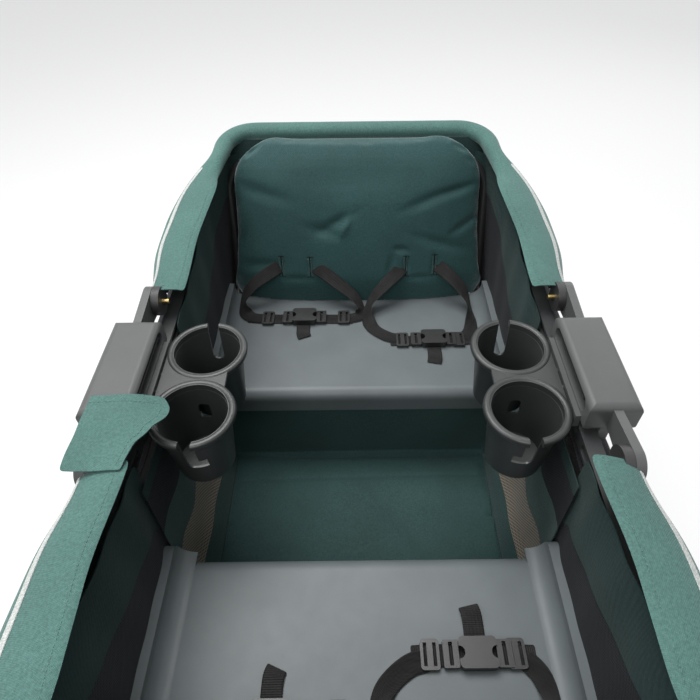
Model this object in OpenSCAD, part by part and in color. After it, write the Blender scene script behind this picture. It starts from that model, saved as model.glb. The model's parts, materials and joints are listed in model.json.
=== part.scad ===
// Four-seat stroller wagon. The footwell's middle is the wagon's middle, +Y is the front, +Z is up.

/* [Heights above the ground] */
// Top of the cup rims
rim_z = 545; // [540:1:552]
// Top of the benches
bench_z = 348; // [340:1:356]
// Top of the footwell pad
floor_z = 187; // [182:1:195]
// Axis of the seat frame tubes
frame_z = 305; // [298:1:308]
// Axis of the folding side rails
rail_z = 518; // [516:1:518]

/* [Plan] */
// Middle of the wagon to the front edge of a bench
seat_front = 137; // [132:1:142]
// Middle of the wagon to the foot of a backrest
seat_back = 363; // [358:1:368]
// Half of the width of a bench
bench_half_w = 270; // [262:1:274]
// Middle of the wagon to the axis of a seat frame side
frame_half_w = 245; // [238:1:250]
// Middle of the wagon to the middle of a side rail
rail_x = 264; // [264:0.5:265]

/* [Frame tubes] */
// Radius of the seat frame and posts
frame_r = 12.5; // [10:0.5:13]
// Radius of the cross tubes
cross_r = 11; // [8:0.5:12]
// Radius of the backrest frame
back_r = 9.5; // [7:0.5:10]
// Wall of the tubes
tube_wall = 1.8; // [1:0.1:3]
// Bend radius of the seat frame
frame_bend = 55; // [45:1:70]
// Rail face to the axis of its post
post_stand = 16; // [15:0.5:20]
// Height of a post above its rail pivot
post_head = 10; // [8:1:12]
// Half of the width of the backrest frame
back_half_w = 231; // [226:1:234]
// Length of the backrest frame along its lean
back_frame_l = 270; // [250:1:275]

/* [Side rails and hubs] */
// Distance between the two pivots of a rail
rail_len = 296; // [290:1:300]
// Thickness of a rail across the wagon
rail_w = 20; // [16:0.5:20]
// Height of a rail
rail_h = 20; // [16:1:22]
// Radius of a rail's rounded ends
knuckle_r = 12.5; // [11:0.5:13]
// Radius of the rail pivot studs
pin_r = 5; // [4:0.5:6]
// Middle of the wagon to a hub's rail pivot
hub_pivot_y = 62; // [60:1:63]
// Middle of the wagon to the inner face of a hub
hub_in_x = 253; // [253:0.5:253.5]
// Width of a hub
hub_w = 60; // [52:1:64]
// Half of the length of a hub
hub_half_l = 76; // [76:1:84]
// Top of a hub above the cup rims
hub_rise = 29; // [26:1:34]
// Depth of a hub's body below its top
hub_h = 42; // [41:1:42.5]
// Corner radius of a hub's top
hub_round = 9; // [5:1:10]
// Depth of the finger recess
recess_d = 20; // [14:1:26]
// Height of the finger recess
recess_h = 20; // [17:1:21]
// Travel of the release paddle
paddle_travel = 3; // [2:0.5:3]

/* [Cup trays] */
// Middle of the wagon to a cup's axis, across
cup_x = 195; // [192:1:195]
// Middle of the wagon to a cup's axis, along
cup_y = 51; // [50:0.5:54]
// Inner radius of a cup at its rim
cup_r = 42; // [38:0.5:42]
// Width of a cup's rim
rim_w = 9; // [7:0.5:9]
// Depth of a cup
cup_depth = 92; // [80:1:100]
// Inner radius of a cup at its floor
cup_floor_r = 33; // [28:0.5:36]
// Wall of a cup
cup_wall = 2.5; // [1.5:0.1:2.5]
// Thickness of the tray plate
tray_t = 4.5; // [3:0.5:5]
// Width of the mug handle slots
mug_slot = 15; // [12:1:18]

/* [Backrests] */
// Half of the width of a pad at its foot
pad_low_w = 240; // [225:1:241]
// Half of the width of a pad at its top
pad_top_w = 220; // [205:1:224]
// Rise of a pad above its bench
pad_rise = 286; // [270:1:290]
// Lean of a pad at its top
pad_lean = 81; // [70:1:82]
// Thickness of a pad at its crown
pad_t = 40; // [30:1:40]
// Thickness of a pad at its edge
pad_edge = 13; // [8:1:18]
// Corner radius of a pad's top
pad_corner = 62; // [40:1:80]

/* [Canopies] */
// Middle of the wagon to a canopy pivot, along
canopy_y = 134; // [130:1:140]
// Canopy pivot above the cup rims
canopy_rise = 10; // [8:1:12]
// Pivot axis to the middle of the bow's bar
bow_reach = 391; // [385:1:398]
// Half of the width of a bow at its bar
bow_top_w = 224; // [223:1:230]
// Bend radius of a bow
bow_bend = 52; // [40:1:60]
// Half of the thickness of a bow
bow_r = 5; // [3.5:0.5:5]
// Angle of a folded bow above the level
bow_rest = 9.2; // [8.5:0.1:10]
// Radius of the pivot discs
disc_r = 20; // [16:1:20]
// Thickness of a pivot disc
disc_t = 10.5; // [10.5:0.5:11]
// Length of the cloth that hangs from a folded bow
flap_drop = 54; // [48:1:56]

/* [Wheels] */
// Diameter of a rear wheel
rear_wheel_d = 240; // [220:2:250]
// Width of a rear wheel
rear_wheel_w = 46; // [38:1:48]
// Diameter of a front wheel
front_wheel_d = 200; // [180:2:204]
// Width of a front wheel
front_wheel_w = 42; // [34:1:46]
// Middle of the wagon to the axle and to the swivel axes, along
axle_y = 410; // [405:1:420]
// Middle of the wagon to a rear wheel, across
rear_wheel_x = 300; // [298:1:304]
// Trail of a caster
caster_trail = 42; // [34:1:46]
// Radius of the wheel axles
axle_r = 6; // [5:0.5:8]
// Radius of a caster stem
stem_r = 9; // [7:0.5:11]

/* [Push handle] */
// Middle of the wagon to the handle pivot, along
handle_y = 480; // [475:1:490]
// Height of the handle pivot
handle_z = 420; // [410:1:430]
// Length of the handle from its pivot to its grip
handle_l = 617; // [590:1:640]
// Tilt of the handle from upright
handle_tilt = 20; // [18:0.5:22]
// Radius of the handle tube
handle_r = 12; // [10:0.5:12]
// Radius of the foam grip
grip_r = 17; // [15:0.5:20]
// Bend radius of the handle
handle_bend = 70; // [60:1:90]
// Radius of the handle's pivot discs
handle_disc_r = 27; // [24:1:32]
// Thickness of a handle pivot disc
handle_disc_t = 16; // [14:0.5:18]
// Travel of a pivot button
button_travel = 3; // [2:0.5:4]

/* [Hidden] */

// Fits shared by all pieces
run_gap = 0.05;
side_gap = 0.4;
seat_gap = 0.3;
overrun = 2;
$fn = 64;

// Colours
frame_black = [0.16, 0.16, 0.17];
moulded_grey = [0.44, 0.46, 0.46];
hub_grey = [0.38, 0.38, 0.37];
dark_green = [0.13, 0.27, 0.24];
sage_green = [0.33, 0.48, 0.42];
mesh_grey = [0.24, 0.23, 0.26];
webbing_black = [0.13, 0.12, 0.12];
brass = [0.75, 0.62, 0.35];
rubber = [0.10, 0.10, 0.10];

// Heights and places that follow the driving sizes
hub_top_z = rim_z + hub_rise;
hub_bottom_z = hub_top_z - hub_h;
canopy_z = rim_z + canopy_rise;
post_x = rail_x + rail_w / 2 + post_stand;
post_y = hub_pivot_y + rail_len;
cross_z = frame_z - frame_r - cross_r - seat_gap;
post_foot_z = cross_z - cross_r;
post_top_z = rail_z + post_head;
frame_inset = 28;
frame_front = seat_front + frame_inset;
frame_tail = 50;
frame_back = axle_y + frame_tail;
lean = atan2(pad_lean, pad_rise);
rear_wheel_r = rear_wheel_d / 2;
front_wheel_r = front_wheel_d / 2;

// The cloth's section around a bow's bar, as out and up shares of its size
sleeve_out = 15;
cover_top = 15;
bar_shares = [
    [-0.75, 0.35], [-0.35, 0.95], [0.25, 1], [0.85, 0.7], [1, 0], [0.9, -0.9], [0.72, -1.8], [0.45, -2.3],
    [0.1, -1.7], [-0.25, -1], [-0.7, -0.7], [-0.85, -0.2]
];
// The handle's back and the front canopy's cloth set the wagon's middle in its own box
front_reach = canopy_y + max([
    for (b = bar_shares)
        (bow_reach + b[0] * sleeve_out) * cos(bow_rest) - b[1] * cover_top * sin(bow_rest)
]);
rear_reach = handle_y + handle_l * sin(handle_tilt) + grip_r;
mid_y = (rear_reach - front_reach) / 2;

module placed() translate([0, mid_y, 0]) children();
module at_end(end) if (end > 0) children(); else mirror([0, 1, 0]) children();
module at_side(side) if (side > 0) children(); else mirror([1, 0, 0]) children();
module both_sides() {
    children();
    mirror([1, 0, 0]) children();
}

// A profile drawn as Y and Z, extruded from x0 to x1
module plate_x(x0, x1) translate([x0, 0, 0]) rotate([90, 0, 90]) linear_extrude(x1 - x0) children();
// A profile drawn as X and Z, extruded from y0 to y1
module plate_y(y0, y1) translate([0, y1, 0]) rotate([90, 0, 0]) linear_extrude(y1 - y0) children();
// A rod along X through the point (y, z)
module rod_x(r, x0, x1, y, z) translate([x0, y, z]) rotate([0, 90, 0]) cylinder(r = r, h = x1 - x0);
module tube_section(r, wall) difference() {
    circle(r);
    circle(r - wall);
}
module rounded_rect(w, h, r) {
    square([w - 2 * r, h], center = true);
    square([w, h - 2 * r], center = true);
    for (x = [-1, 1], y = [-1, 1]) translate([x * (w / 2 - r), y * (h / 2 - r)]) circle(r);
}
// A strap-shaped outline between two circles
module link_shape(a, ra, b, rb) {
    run = norm(b - a);
    turn = atan2(b[1] - a[1], b[0] - a[0]);
    spread = acos((ra - rb) / run);
    translate(a) circle(ra);
    translate(b) circle(rb);
    polygon([
        a + ra * [cos(turn + spread), sin(turn + spread)],
        b + rb * [cos(turn + spread), sin(turn + spread)],
        b + rb * [cos(turn - spread), sin(turn - spread)],
        a + ra * [cos(turn - spread), sin(turn - spread)]
    ]);
}
// A bent tube in the XY plane: feet on y = 0, crossbar at y = leg, each leg beginning at start
module u_tube(half_w, leg, bend, r, wall, start = 0) {
    both_sides() {
        translate([half_w, start, 0]) rotate([-90, 0, 0])
            linear_extrude(leg - bend - start) tube_section(r, wall);
        translate([half_w - bend, leg - bend, 0])
            rotate_extrude(angle = 90) translate([bend, 0]) tube_section(r, wall);
    }
    translate([bend - half_w, leg, 0]) rotate([0, 90, 0])
        linear_extrude(2 * (half_w - bend)) tube_section(r, wall);
}

// Closed soft solids: two point grids of the same size, joined around their borders.
// A wrapped grid closes on itself across its columns.
function cell(a, b, c, d) = [[a, b, c], [a, c, d]];
function grid_faces(cols, rows, wrapped) = let (
    across = wrapped ? cols : cols + 1,
    count = across * (rows + 1),
    at = function(i, j) j * across + i % across
) [
    for (j = [0:rows - 1], i = [0:cols - 1])
        let (a = at(i, j), b = at(i + 1, j), c = at(i + 1, j + 1), d = at(i, j + 1))
        each concat(cell(a, d, c, b), cell(count + a, count + b, count + c, count + d)),
    for (i = [0:cols - 1])
        let (a = at(i, 0), b = at(i + 1, 0), c = at(i, rows), d = at(i + 1, rows))
        each concat(cell(a, b, count + b, count + a), cell(d, c, count + c, count + d)),
    if (!wrapped) for (j = [0:rows - 1])
        let (a = at(0, j), b = at(0, j + 1), c = at(cols, j), d = at(cols, j + 1))
        each concat(cell(b, a, count + a, count + b), cell(c, d, count + d, count + c))
];
module soft_solid(front, back, cols, rows, wrapped = false)
    polyhedron(concat(front, back), grid_faces(cols, rows, wrapped), convexity = 6);

function mix(a, b, t) = a + (b - a) * t;
function unit(v) = v / norm(v);

// Frame of one half: posts, cross tube, seat frame and backrest frame
handle_arm_r = handle_disc_t / 2 - side_gap;
handle_stud_r = 8;
handle_stud_l = 7;
post_boss_r = 9;

module post(side, end) color(frame_black) placed() at_end(end) at_side(side) {
    translate([post_x, post_y, post_foot_z])
        linear_extrude(post_top_z - post_foot_z) tube_section(frame_r, tube_wall);
    rod_x(post_boss_r, rail_x + rail_w / 2 + side_gap, post_x, post_y, rail_z);
    rod_x(pin_r, rail_x - rail_w / 2, post_x, post_y, rail_z);
    if (end < 0) handle_bracket();
}
module handle_bracket() {
    translate([post_x, post_y, handle_z]) rotate([-90, 0, 0])
        cylinder(r = handle_arm_r, h = handle_y - post_y);
    rod_x(handle_disc_r, post_x - handle_disc_t / 2, post_x + handle_disc_t / 2, handle_y, handle_z);
    rod_x(handle_stud_r, post_x, post_x + handle_disc_t / 2 + side_gap + handle_stud_l, handle_y, handle_z);
}

module cross_tube(end) color(frame_black) placed() at_end(end)
    translate([-(post_x - frame_r - seat_gap), post_y, cross_z]) rotate([0, 90, 0])
        linear_extrude(2 * (post_x - frame_r - seat_gap)) tube_section(cross_r, tube_wall);

floor_pad_t = 12;
board_t = 6;
board_z = floor_z - floor_pad_t - seat_gap - board_t / 2;
drop_x = 205;
drop_w = 20;
drop_t = 8;
floor_rod_r = 5;

module seat_frame(end) color(frame_black) placed() at_end(end) {
    translate([0, frame_back, frame_z]) rotate([0, 0, 180])
        u_tube(frame_half_w, frame_back - frame_front, frame_bend, frame_r, tube_wall);
    both_sides() translate([drop_x - drop_w / 2, frame_front - drop_t / 2, board_z])
        cube([drop_w, drop_t, frame_z - frame_r + tube_wall / 2 - board_z]);
    rod_x(floor_rod_r, -drop_x, drop_x, frame_front, board_z);
    both_sides() rod_x(drop_t, drop_x - drop_w / 2, drop_x + drop_w / 2, frame_front, board_z);
}

back_offset = pad_t + back_r + side_gap;
back_foot_z = frame_z + frame_r + back_r * sin(lean) + seat_gap;
back_foot_y = seat_back + back_offset / cos(lean) + (back_foot_z - bench_z) * tan(lean);

module back_frame(end) color(frame_black) placed() at_end(end)
    translate([0, back_foot_y, back_foot_z]) rotate([90 - lean, 0, 0])
        u_tube(back_half_w, back_frame_l, frame_bend, back_r, tube_wall);

// Rear axle with its drop brackets, and the front beam with its caster housings
beam_r = 14;
bracket_w = 34;
bracket_t = 16;
bracket_foot_r = 21;
nut_r = 11;
nut_t = 7;
hub_inset = 8;
rear_hub_l = rear_wheel_w - hub_inset;
beam_end = rear_wheel_x - rear_hub_l / 2 - side_gap;
nut_x = rear_wheel_x + rear_hub_l / 2 + side_gap;

module axle_beam() color(frame_black) placed() at_end(-1) {
    difference() {
        union() {
            rod_x(beam_r, -beam_end, beam_end, axle_y, rear_wheel_r);
            both_sides() plate_x(frame_half_w - bracket_t / 2, frame_half_w + bracket_t / 2) {
                translate([axle_y, rear_wheel_r]) circle(bracket_foot_r);
                translate([axle_y - bracket_w / 2, rear_wheel_r])
                    square([bracket_w, frame_z - frame_r - seat_gap - rear_wheel_r]);
            }
        }
        both_sides() bracket_windows();
    }
    both_sides() {
        rod_x(axle_r, beam_end - overrun, rear_wheel_x + rear_wheel_w / 2 + nut_t, axle_y, rear_wheel_r);
        rod_x(nut_r, nut_x, nut_x + nut_t, axle_y, rear_wheel_r);
    }
}
// Lightening slots through a drop bracket
bracket_slot_w = 14;
bracket_slot_l = 62;
module bracket_windows() plate_x(frame_half_w - bracket_t, frame_half_w + bracket_t)
    translate([axle_y, (rear_wheel_r + frame_z) / 2])
        rounded_rect(bracket_slot_w, bracket_slot_l, bracket_slot_w / 2 - run_gap);

housing_r = 20;
fork_lift = 8;
crown_h = 18;
crown_z = front_wheel_d + fork_lift;
housing_z = crown_z + crown_h + side_gap;
stem_l = 46;

module caster_beam() color(frame_black) placed() difference() {
    union() {
        both_sides() translate([frame_half_w, axle_y, housing_z])
            cylinder(r = housing_r, h = frame_z - frame_r - seat_gap - housing_z);
        rod_x(cross_r, -frame_half_w, frame_half_w, axle_y, (housing_z + frame_z - frame_r) / 2);
    }
    both_sides() translate([frame_half_w, axle_y, housing_z - overrun])
        cylinder(r = stem_r + run_gap, h = stem_l + 2 * overrun);
}

fork_arm_t = 7;
fork_clear = 4;
fork_arm_r = 15;
fork_foot_r = 13;
fork_half_w = front_wheel_w / 2 + fork_clear + fork_arm_t;

module caster_fork(side) color(frame_black) placed() translate([side * frame_half_w, 0, 0]) {
    translate([0, axle_y, crown_z]) cylinder(r = stem_r, h = crown_h + side_gap + stem_l);
    translate([0, axle_y, crown_z]) cylinder(r = housing_r, h = crown_h);
    both_sides() plate_x(fork_half_w - fork_arm_t, fork_half_w)
        link_shape([axle_y, crown_z + crown_h - fork_arm_r], fork_arm_r,
            [axle_y - caster_trail, front_wheel_r], fork_foot_r);
    translate([-fork_half_w + fork_arm_t / 2, axle_y - fork_arm_r, crown_z])
        cube([2 * fork_half_w - fork_arm_t, 2 * fork_arm_r, crown_h - fork_arm_t / 2]);
    rod_x(axle_r, -fork_half_w - nut_t / 2, fork_half_w + nut_t / 2, axle_y - caster_trail, front_wheel_r);
}

// Wheels: a rim with a pierced web, and a hollow tyre seated on it
tyre_share = 0.19;
rim_lip = 3;
rim_t = 6;
web_t = 9;
hole_count = 6;
hole_share = 0.68;
hub_r = 19;
groove_w = 4;
groove_d = 2.5;

module tyre_profile(r, w) difference() {
    translate([r - r * tyre_share / 2, 0]) rounded_rect(r * tyre_share, w, r * tyre_share / 2 - run_gap);
    for (y = [-1, 1]) translate([r - groove_d, y * w / 6 - groove_w / 2])
        square([groove_d + overrun, groove_w]);
}
module tyre(r, w) rotate([0, 90, 0]) rotate_extrude() tyre_profile(r, w);
module rim(r, w, hub_l) {
    seat_r = r - r * tyre_share - run_gap;
    inner_r = seat_r - rim_t;
    rotate([0, 90, 0]) difference() {
        rotate_extrude() {
            translate([0, -hub_l / 2]) square([hub_r, hub_l]);
            translate([0, -web_t / 2]) square([inner_r + rim_t / 2, web_t]);
            translate([inner_r, -w / 3]) square([rim_t, 2 * w / 3]);
            for (y = [-w / 3, w / 3 - rim_lip]) translate([inner_r - rim_lip, y])
                square([rim_lip + rim_t / 2, rim_lip]);
        }
        cylinder(r = axle_r + run_gap, h = hub_l + overrun, center = true);
        for (k = [0:hole_count - 1]) rotate([0, 0, (k + 1 / 2) * 360 / hole_count])
            translate([(hub_r + inner_r) / 2, 0, 0])
                cylinder(r = hole_share * (inner_r - hub_r) / 2, h = web_t + overrun, center = true);
    }
}
module rear_wheel_at(side) placed() translate([side * rear_wheel_x, -axle_y, rear_wheel_r]) children();
module front_wheel_at(side) placed()
    translate([side * frame_half_w, axle_y - caster_trail, front_wheel_r]) children();
module rear_tyre(side) color(rubber) rear_wheel_at(side) tyre(rear_wheel_r, rear_wheel_w);
module rear_rim(side) color(hub_grey) rear_wheel_at(side) rim(rear_wheel_r, rear_wheel_w, rear_hub_l);
module front_tyre(side) color(rubber) front_wheel_at(side) tyre(front_wheel_r, front_wheel_w);
module front_rim(side) color(hub_grey) front_wheel_at(side)
    rim(front_wheel_r, front_wheel_w, front_wheel_w);

// Bench: a moulded shell with a rounded nose, raised shoulders and ribs below
shell_t = 4;
nose_r = 17;
lip_h = 42;
bench_tail = 26;
bench_end = seat_back + bench_tail;
tail_h = 22;
shoulder_h = 30;
shoulder_w = 34;
shoulder_run = 22;
shoulder_nose = 8;
rib_t = 3;
rib_shares = [-0.66, -0.33, 0, 0.33, 0.66];
rib_z = frame_z + frame_r + seat_gap;

module bench_shell_profile(inset) {
    translate([seat_front + nose_r, bench_z - nose_r]) circle(nose_r - inset);
    translate([seat_front + nose_r, bench_z - lip_h])
        square([bench_end - seat_front - nose_r - inset, lip_h - inset]);
    translate([seat_front + inset, bench_z - lip_h]) square([nose_r, lip_h - nose_r]);
}
module bench_cavity() {
    bench_shell_profile(shell_t);
    translate([seat_front + shell_t, bench_z - lip_h - overrun])
        square([bench_end - seat_front - 2 * shell_t, lip_h + overrun - nose_r]);
}
module shoulder_profile() difference() {
    translate([bench_half_w - shoulder_w - shoulder_run, bench_z - shell_t])
        square([shoulder_w + shoulder_run, shoulder_h + shell_t]);
    translate([bench_half_w - shoulder_w - shoulder_run, bench_z + shoulder_run]) circle(shoulder_run);
    translate([bench_half_w - shoulder_w - 2 * shoulder_run, bench_z + shoulder_run])
        square([2 * shoulder_run, shoulder_h]);
}
module bench(end) color(moulded_grey) placed() at_end(end) {
    difference() {
        plate_x(-bench_half_w, bench_half_w) bench_shell_profile(0);
        plate_x(shell_t - bench_half_w, bench_half_w - shell_t) bench_cavity();
        plate_x(-bench_half_w - overrun, bench_half_w + overrun)
            translate([bench_end - tail_h, bench_z - lip_h - overrun])
                square([tail_h + overrun, lip_h + overrun - tail_h]);
    }
    for (s = rib_shares) translate([s * bench_half_w - rib_t / 2, seat_front + nose_r, rib_z])
        cube([rib_t, bench_end - seat_front - nose_r - shell_t, bench_z - shell_t / 2 - rib_z]);
    both_sides() intersection() {
        plate_y(seat_front - shoulder_nose, bench_end) shoulder_profile();
        plate_x(0, bench_half_w) shoulder_side();
    }
}
// Side outline of a shoulder: rounded at its nose, level along the seat
module shoulder_side() {
    nose_y = seat_front - shoulder_nose;
    translate([nose_y + shoulder_h / 2, bench_z + shoulder_h / 2]) circle(shoulder_h / 2);
    translate([nose_y, bench_z - shell_t]) square([nose_r + shoulder_nose, shoulder_h / 2 + shell_t]);
    translate([nose_y + shoulder_h / 2, bench_z - shell_t])
        square([bench_end - seat_front, shoulder_h + shell_t]);
}

// Backrest pad: crowned, drawn in at its sides, round at its top corners
pad_cols = 16;
pad_rows = 16;
pad_draw_in = 5;
pad_back_crown = 3;
pad_l = norm([pad_rise, pad_lean]);
pad_lift = 6;
pad_foot = 8;
pad_foot_share = 0.2;
pad_foot_in = 20;

function pad_half_w(h) = let (
    v = h / pad_l,
    foot_in = pad_foot_in * max(0, -h / pad_foot),
    full = mix(pad_low_w, pad_top_w, v) - pad_draw_in * sin(180 * v) - foot_in,
    over = max(0, h - (pad_l - pad_corner))
) full - pad_corner + sqrt(max(0, pow(pad_corner, 2) - pow(over, 2)));
function swell(u, v) = (1 - pow(u, 4)) * (1 - pow(2 * v - 1, 4));
// The swell at a height share v: nearly full at the foot, nothing at the top edge
function pad_swell(u, v) = swell(u, (v + pad_foot_share) / (1 + pad_foot_share));
function pad_grid(depth) = [
    for (j = [0:pad_rows], i = [0:pad_cols]) let (
        v = sin(90 * j / pad_rows),
        u = sin(90 * (2 * i / pad_cols - 1)),
        h = mix(-pad_foot, pad_l, v)
    ) [u * pad_half_w(h), depth(u, v), h]
];
module backrest_pad(end) color(dark_green) placed() at_end(end)
    translate([0, seat_back + pad_t / cos(lean), bench_z + pad_lift]) rotate([-lean, 0, 0]) soft_solid(
        pad_grid(function(u, v) -pad_edge - (pad_t - pad_edge) * pad_swell(u, v)),
        pad_grid(function(u, v) pad_back_crown * (pad_swell(u, v) - 1)),
        pad_cols, pad_rows
    );

// Outer back panel behind the backrest frame
panel_t = 3;
panel_l = 240;
panel_low_w = 245;
panel_top_w = 228;
panel_sag = 6;
panel_cols = 10;
panel_rows = 8;
panel_off = back_offset + back_r + panel_t + seat_gap;

function panel_grid(back) = [
    for (j = [0:panel_rows], i = [0:panel_cols]) let (u = 2 * i / panel_cols - 1, v = j / panel_rows)
        [u * mix(panel_low_w, panel_top_w, v), back + panel_sag * swell(u, v) - panel_t / 2, v * panel_l]
];
module back_panel(end) color(sage_green) placed() at_end(end)
    translate([0, seat_back + panel_off / cos(lean), bench_z]) rotate([-lean, 0, 0])
        soft_solid(panel_grid(0), panel_grid(panel_t), panel_cols, panel_rows);

// Inner side walls: cloth with soft upright folds, standing on the bench shoulders
wall_t = 3;
wall_clear = 3.5;
wall_x = rail_x - rail_w / 2 - wall_clear - wall_t;
wall_fold = 1.6;
wall_folds = 5;
wall_cols = 20;
wall_rows = 6;
wall_top_front = 18;
wall_top_back = 30;
wall_edge = 6;

function wall_grid(out) = [
    for (j = [0:wall_rows], i = [0:wall_cols]) let (
        u = i / wall_cols,
        v = j / wall_rows,
        low = bench_z + shoulder_h + seat_gap,
        high = rim_z + mix(-wall_top_front, wall_top_back, u),
        z = mix(low, high, v),
        near = seat_front + wall_edge,
        far = seat_back + (z - bench_z) * tan(lean)
    ) [wall_x + out + wall_fold * sin(360 * wall_folds * u) * v * (1 - u), mix(near, far, u), z]
];
// Outer side cloth: under the rails to the outside, then down to the seat frame.
// Its line is given as shares of its reach out and of its drop below the rails.
skirt_t = 2;
skirt_out = 53;
skirt_drop = 196;
skirt_x = wall_x + wall_t + 2 * wall_fold;
skirt_shares = [
    [0, 0.107], [0.16, 0.117], [0.42, 0.122], [0.73, 0.133], [0.92, 0.158], [1, 0.224], [1, 0.398],
    [0.97, 0.704], [0.9, 1]
];
skirt_cols = 8;
skirt_near = seat_front - wall_edge;
skirt_far = post_y - frame_r - overrun;

function skirt_grid(y0, y1, inset) = [
    for (p = skirt_shares, i = [0:skirt_cols]) [
        skirt_x + p[0] * skirt_out - inset,
        mix(y0, y1, i / skirt_cols),
        rail_z - p[1] * skirt_drop - inset
    ]
];
module skirt(y0, y1)
    soft_solid(skirt_grid(y0, y1, skirt_t), skirt_grid(y0, y1, 0), skirt_cols, len(skirt_shares) - 1);

module side_walls(end) color(mesh_grey) placed() at_end(end) both_sides() {
    soft_solid(wall_grid(wall_t), wall_grid(0), wall_cols, wall_rows);
    skirt(skirt_near, skirt_far);
}

// Footwell: end walls under the bench noses, soft sides, two hinged boards and their pad
footwall_t = 3;
footwall_half_w = 225;
footwall_hang = 14;

module footwell_wall(end) color(dark_green) placed() at_end(end)
    translate([-footwall_half_w, seat_front + shell_t + seat_gap, floor_z + seat_gap])
        cube([2 * footwall_half_w, footwall_t, bench_z - nose_r - footwall_hang - floor_z]);

sides_t = 3;
sides_floor_w = 222;
sides_cols = 14;
sides_rows = 8;
sides_fold = 3;
sides_folds = 3;
sides_knee = 90;
sides_gap = 6;
sides_top = rail_z - knuckle_r - sides_gap;

function sides_grid(out) = [
    for (j = [0:sides_rows], i = [0:sides_cols]) let (
        u = 2 * i / sides_cols - 1,
        v = j / sides_rows,
        z = mix(board_z, sides_top, v),
        flare = min(1, (z - board_z) / sides_knee),
        fold = sides_fold * sin(180 * sides_folds * u) * sin(180 * v),
        x = mix(sides_floor_w, wall_x - sides_fold, flare)
    ) [x + out + fold, u * (seat_front - shoulder_nose - seat_gap), z]
];
module footwell_sides() color(mesh_grey) placed() both_sides() {
    soft_solid(sides_grid(sides_t), sides_grid(0), sides_cols, sides_rows);
    skirt(2 * seat_gap - skirt_near, skirt_near - 2 * seat_gap);
}

board_half_w = 188;
board_stop = 14;
knuckle_t = 3.5;
board_knuckle_r = floor_rod_r + knuckle_t;
mid_knuckle_r = 7;
mid_pin_r = 3;
mid_knuckle_l = 52;
mid_knuckle_share = 0.78;
mid_x = mid_knuckle_share * board_half_w;
eye_in_x = mid_x - mid_knuckle_l / 2;
eye_out_x = mid_x + mid_knuckle_l / 2;
board_hole_share = 0.55;
board_hole_l = 70;
board_hole_w = 40;

// A board's tab and eye on its hinge line at y
module board_eye(x0, x1, y, r, reach) {
    rod_x(r, x0, x1, y, board_z);
    translate([x0, min(y, y + reach), board_z - board_t / 2]) cube([x1 - x0, abs(reach), board_t]);
}
module board_panel() difference() {
    translate([-board_half_w, -frame_front + board_stop, board_z - board_t / 2])
        cube([2 * board_half_w, frame_front - 2 * board_stop, board_t]);
    for (s = [-board_hole_share, 0, board_hole_share])
        translate([s * board_half_w, -frame_front / 2, board_z - board_t]) linear_extrude(board_t * 2)
            rounded_rect(board_hole_l, board_hole_w, board_hole_w / 2 - run_gap);
}

module rear_floor_board() color(frame_black) placed() difference() {
    union() {
        board_panel();
        both_sides()
            board_eye(eye_in_x, eye_out_x, -frame_front, board_knuckle_r, board_stop + overrun);
        both_sides() board_eye(eye_in_x, mid_x, 0, mid_knuckle_r, -board_stop - overrun);
        rod_x(mid_pin_r, -mid_x, mid_x, 0, board_z);
    }
    rod_x(floor_rod_r + run_gap, -drop_x, drop_x, -frame_front, board_z);
}
module front_floor_board() color(frame_black) placed() difference() {
    union() {
        mirror([0, 1, 0]) board_panel();
        both_sides() board_eye(0, eye_in_x - side_gap, 0, mid_knuckle_r, board_stop + overrun);
    }
    rod_x(mid_pin_r + run_gap, -board_half_w, board_half_w, 0, board_z);
}

pad_floor_half_w = 216;
pad_floor_half_l = 131;
pad_floor_edge = 6;
pad_floor_draw = 5;
floor_cols = 16;
floor_rows = 12;
hinge_channel = 5;

function floor_grid(top) = [
    for (j = [0:floor_rows], i = [0:floor_cols]) let (
        u = sin(90 * (2 * i / floor_cols - 1)),
        v = sin(90 * (2 * j / floor_rows - 1)),
        x = u * (pad_floor_half_w - pad_floor_draw * (1 - v * v)),
        y = v * (pad_floor_half_l - pad_floor_draw * (1 - u * u)),
        base = board_z + board_t / 2,
        low = base + seat_gap + (abs(y) < 2 * mid_knuckle_r ? hinge_channel : 0),
        high = base + pad_floor_edge + (floor_pad_t - pad_floor_edge) * swell(u, (v + 1) / 2)
    ) [x, y, top ? high : low]
];
module floor_pad() color(dark_green) placed()
    soft_solid(floor_grid(true), floor_grid(false), floor_cols, floor_rows);

// Hub: an armrest block with a finger recess, a tray socket, rail studs and canopy ears
cheek_x = rail_x + rail_w / 2 + side_gap;
cheek_t = 12;
ledge_w = 6;
ledge_half_l = 64;
ledge_drop = 19;
socket_half_l = 12;
socket_floor = 6;
socket_reach = 16;
socket_in_x = hub_in_x - socket_reach;
socket_wall = 4;
recess_half_l = 64;
recess_top = 6;
paddle_t = 2.5;
ear_stand = 5.3;
ear_x = rail_x + rail_w / 2 + ear_stand;

hub_mid_z = (hub_top_z + hub_bottom_z) / 2;

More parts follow.
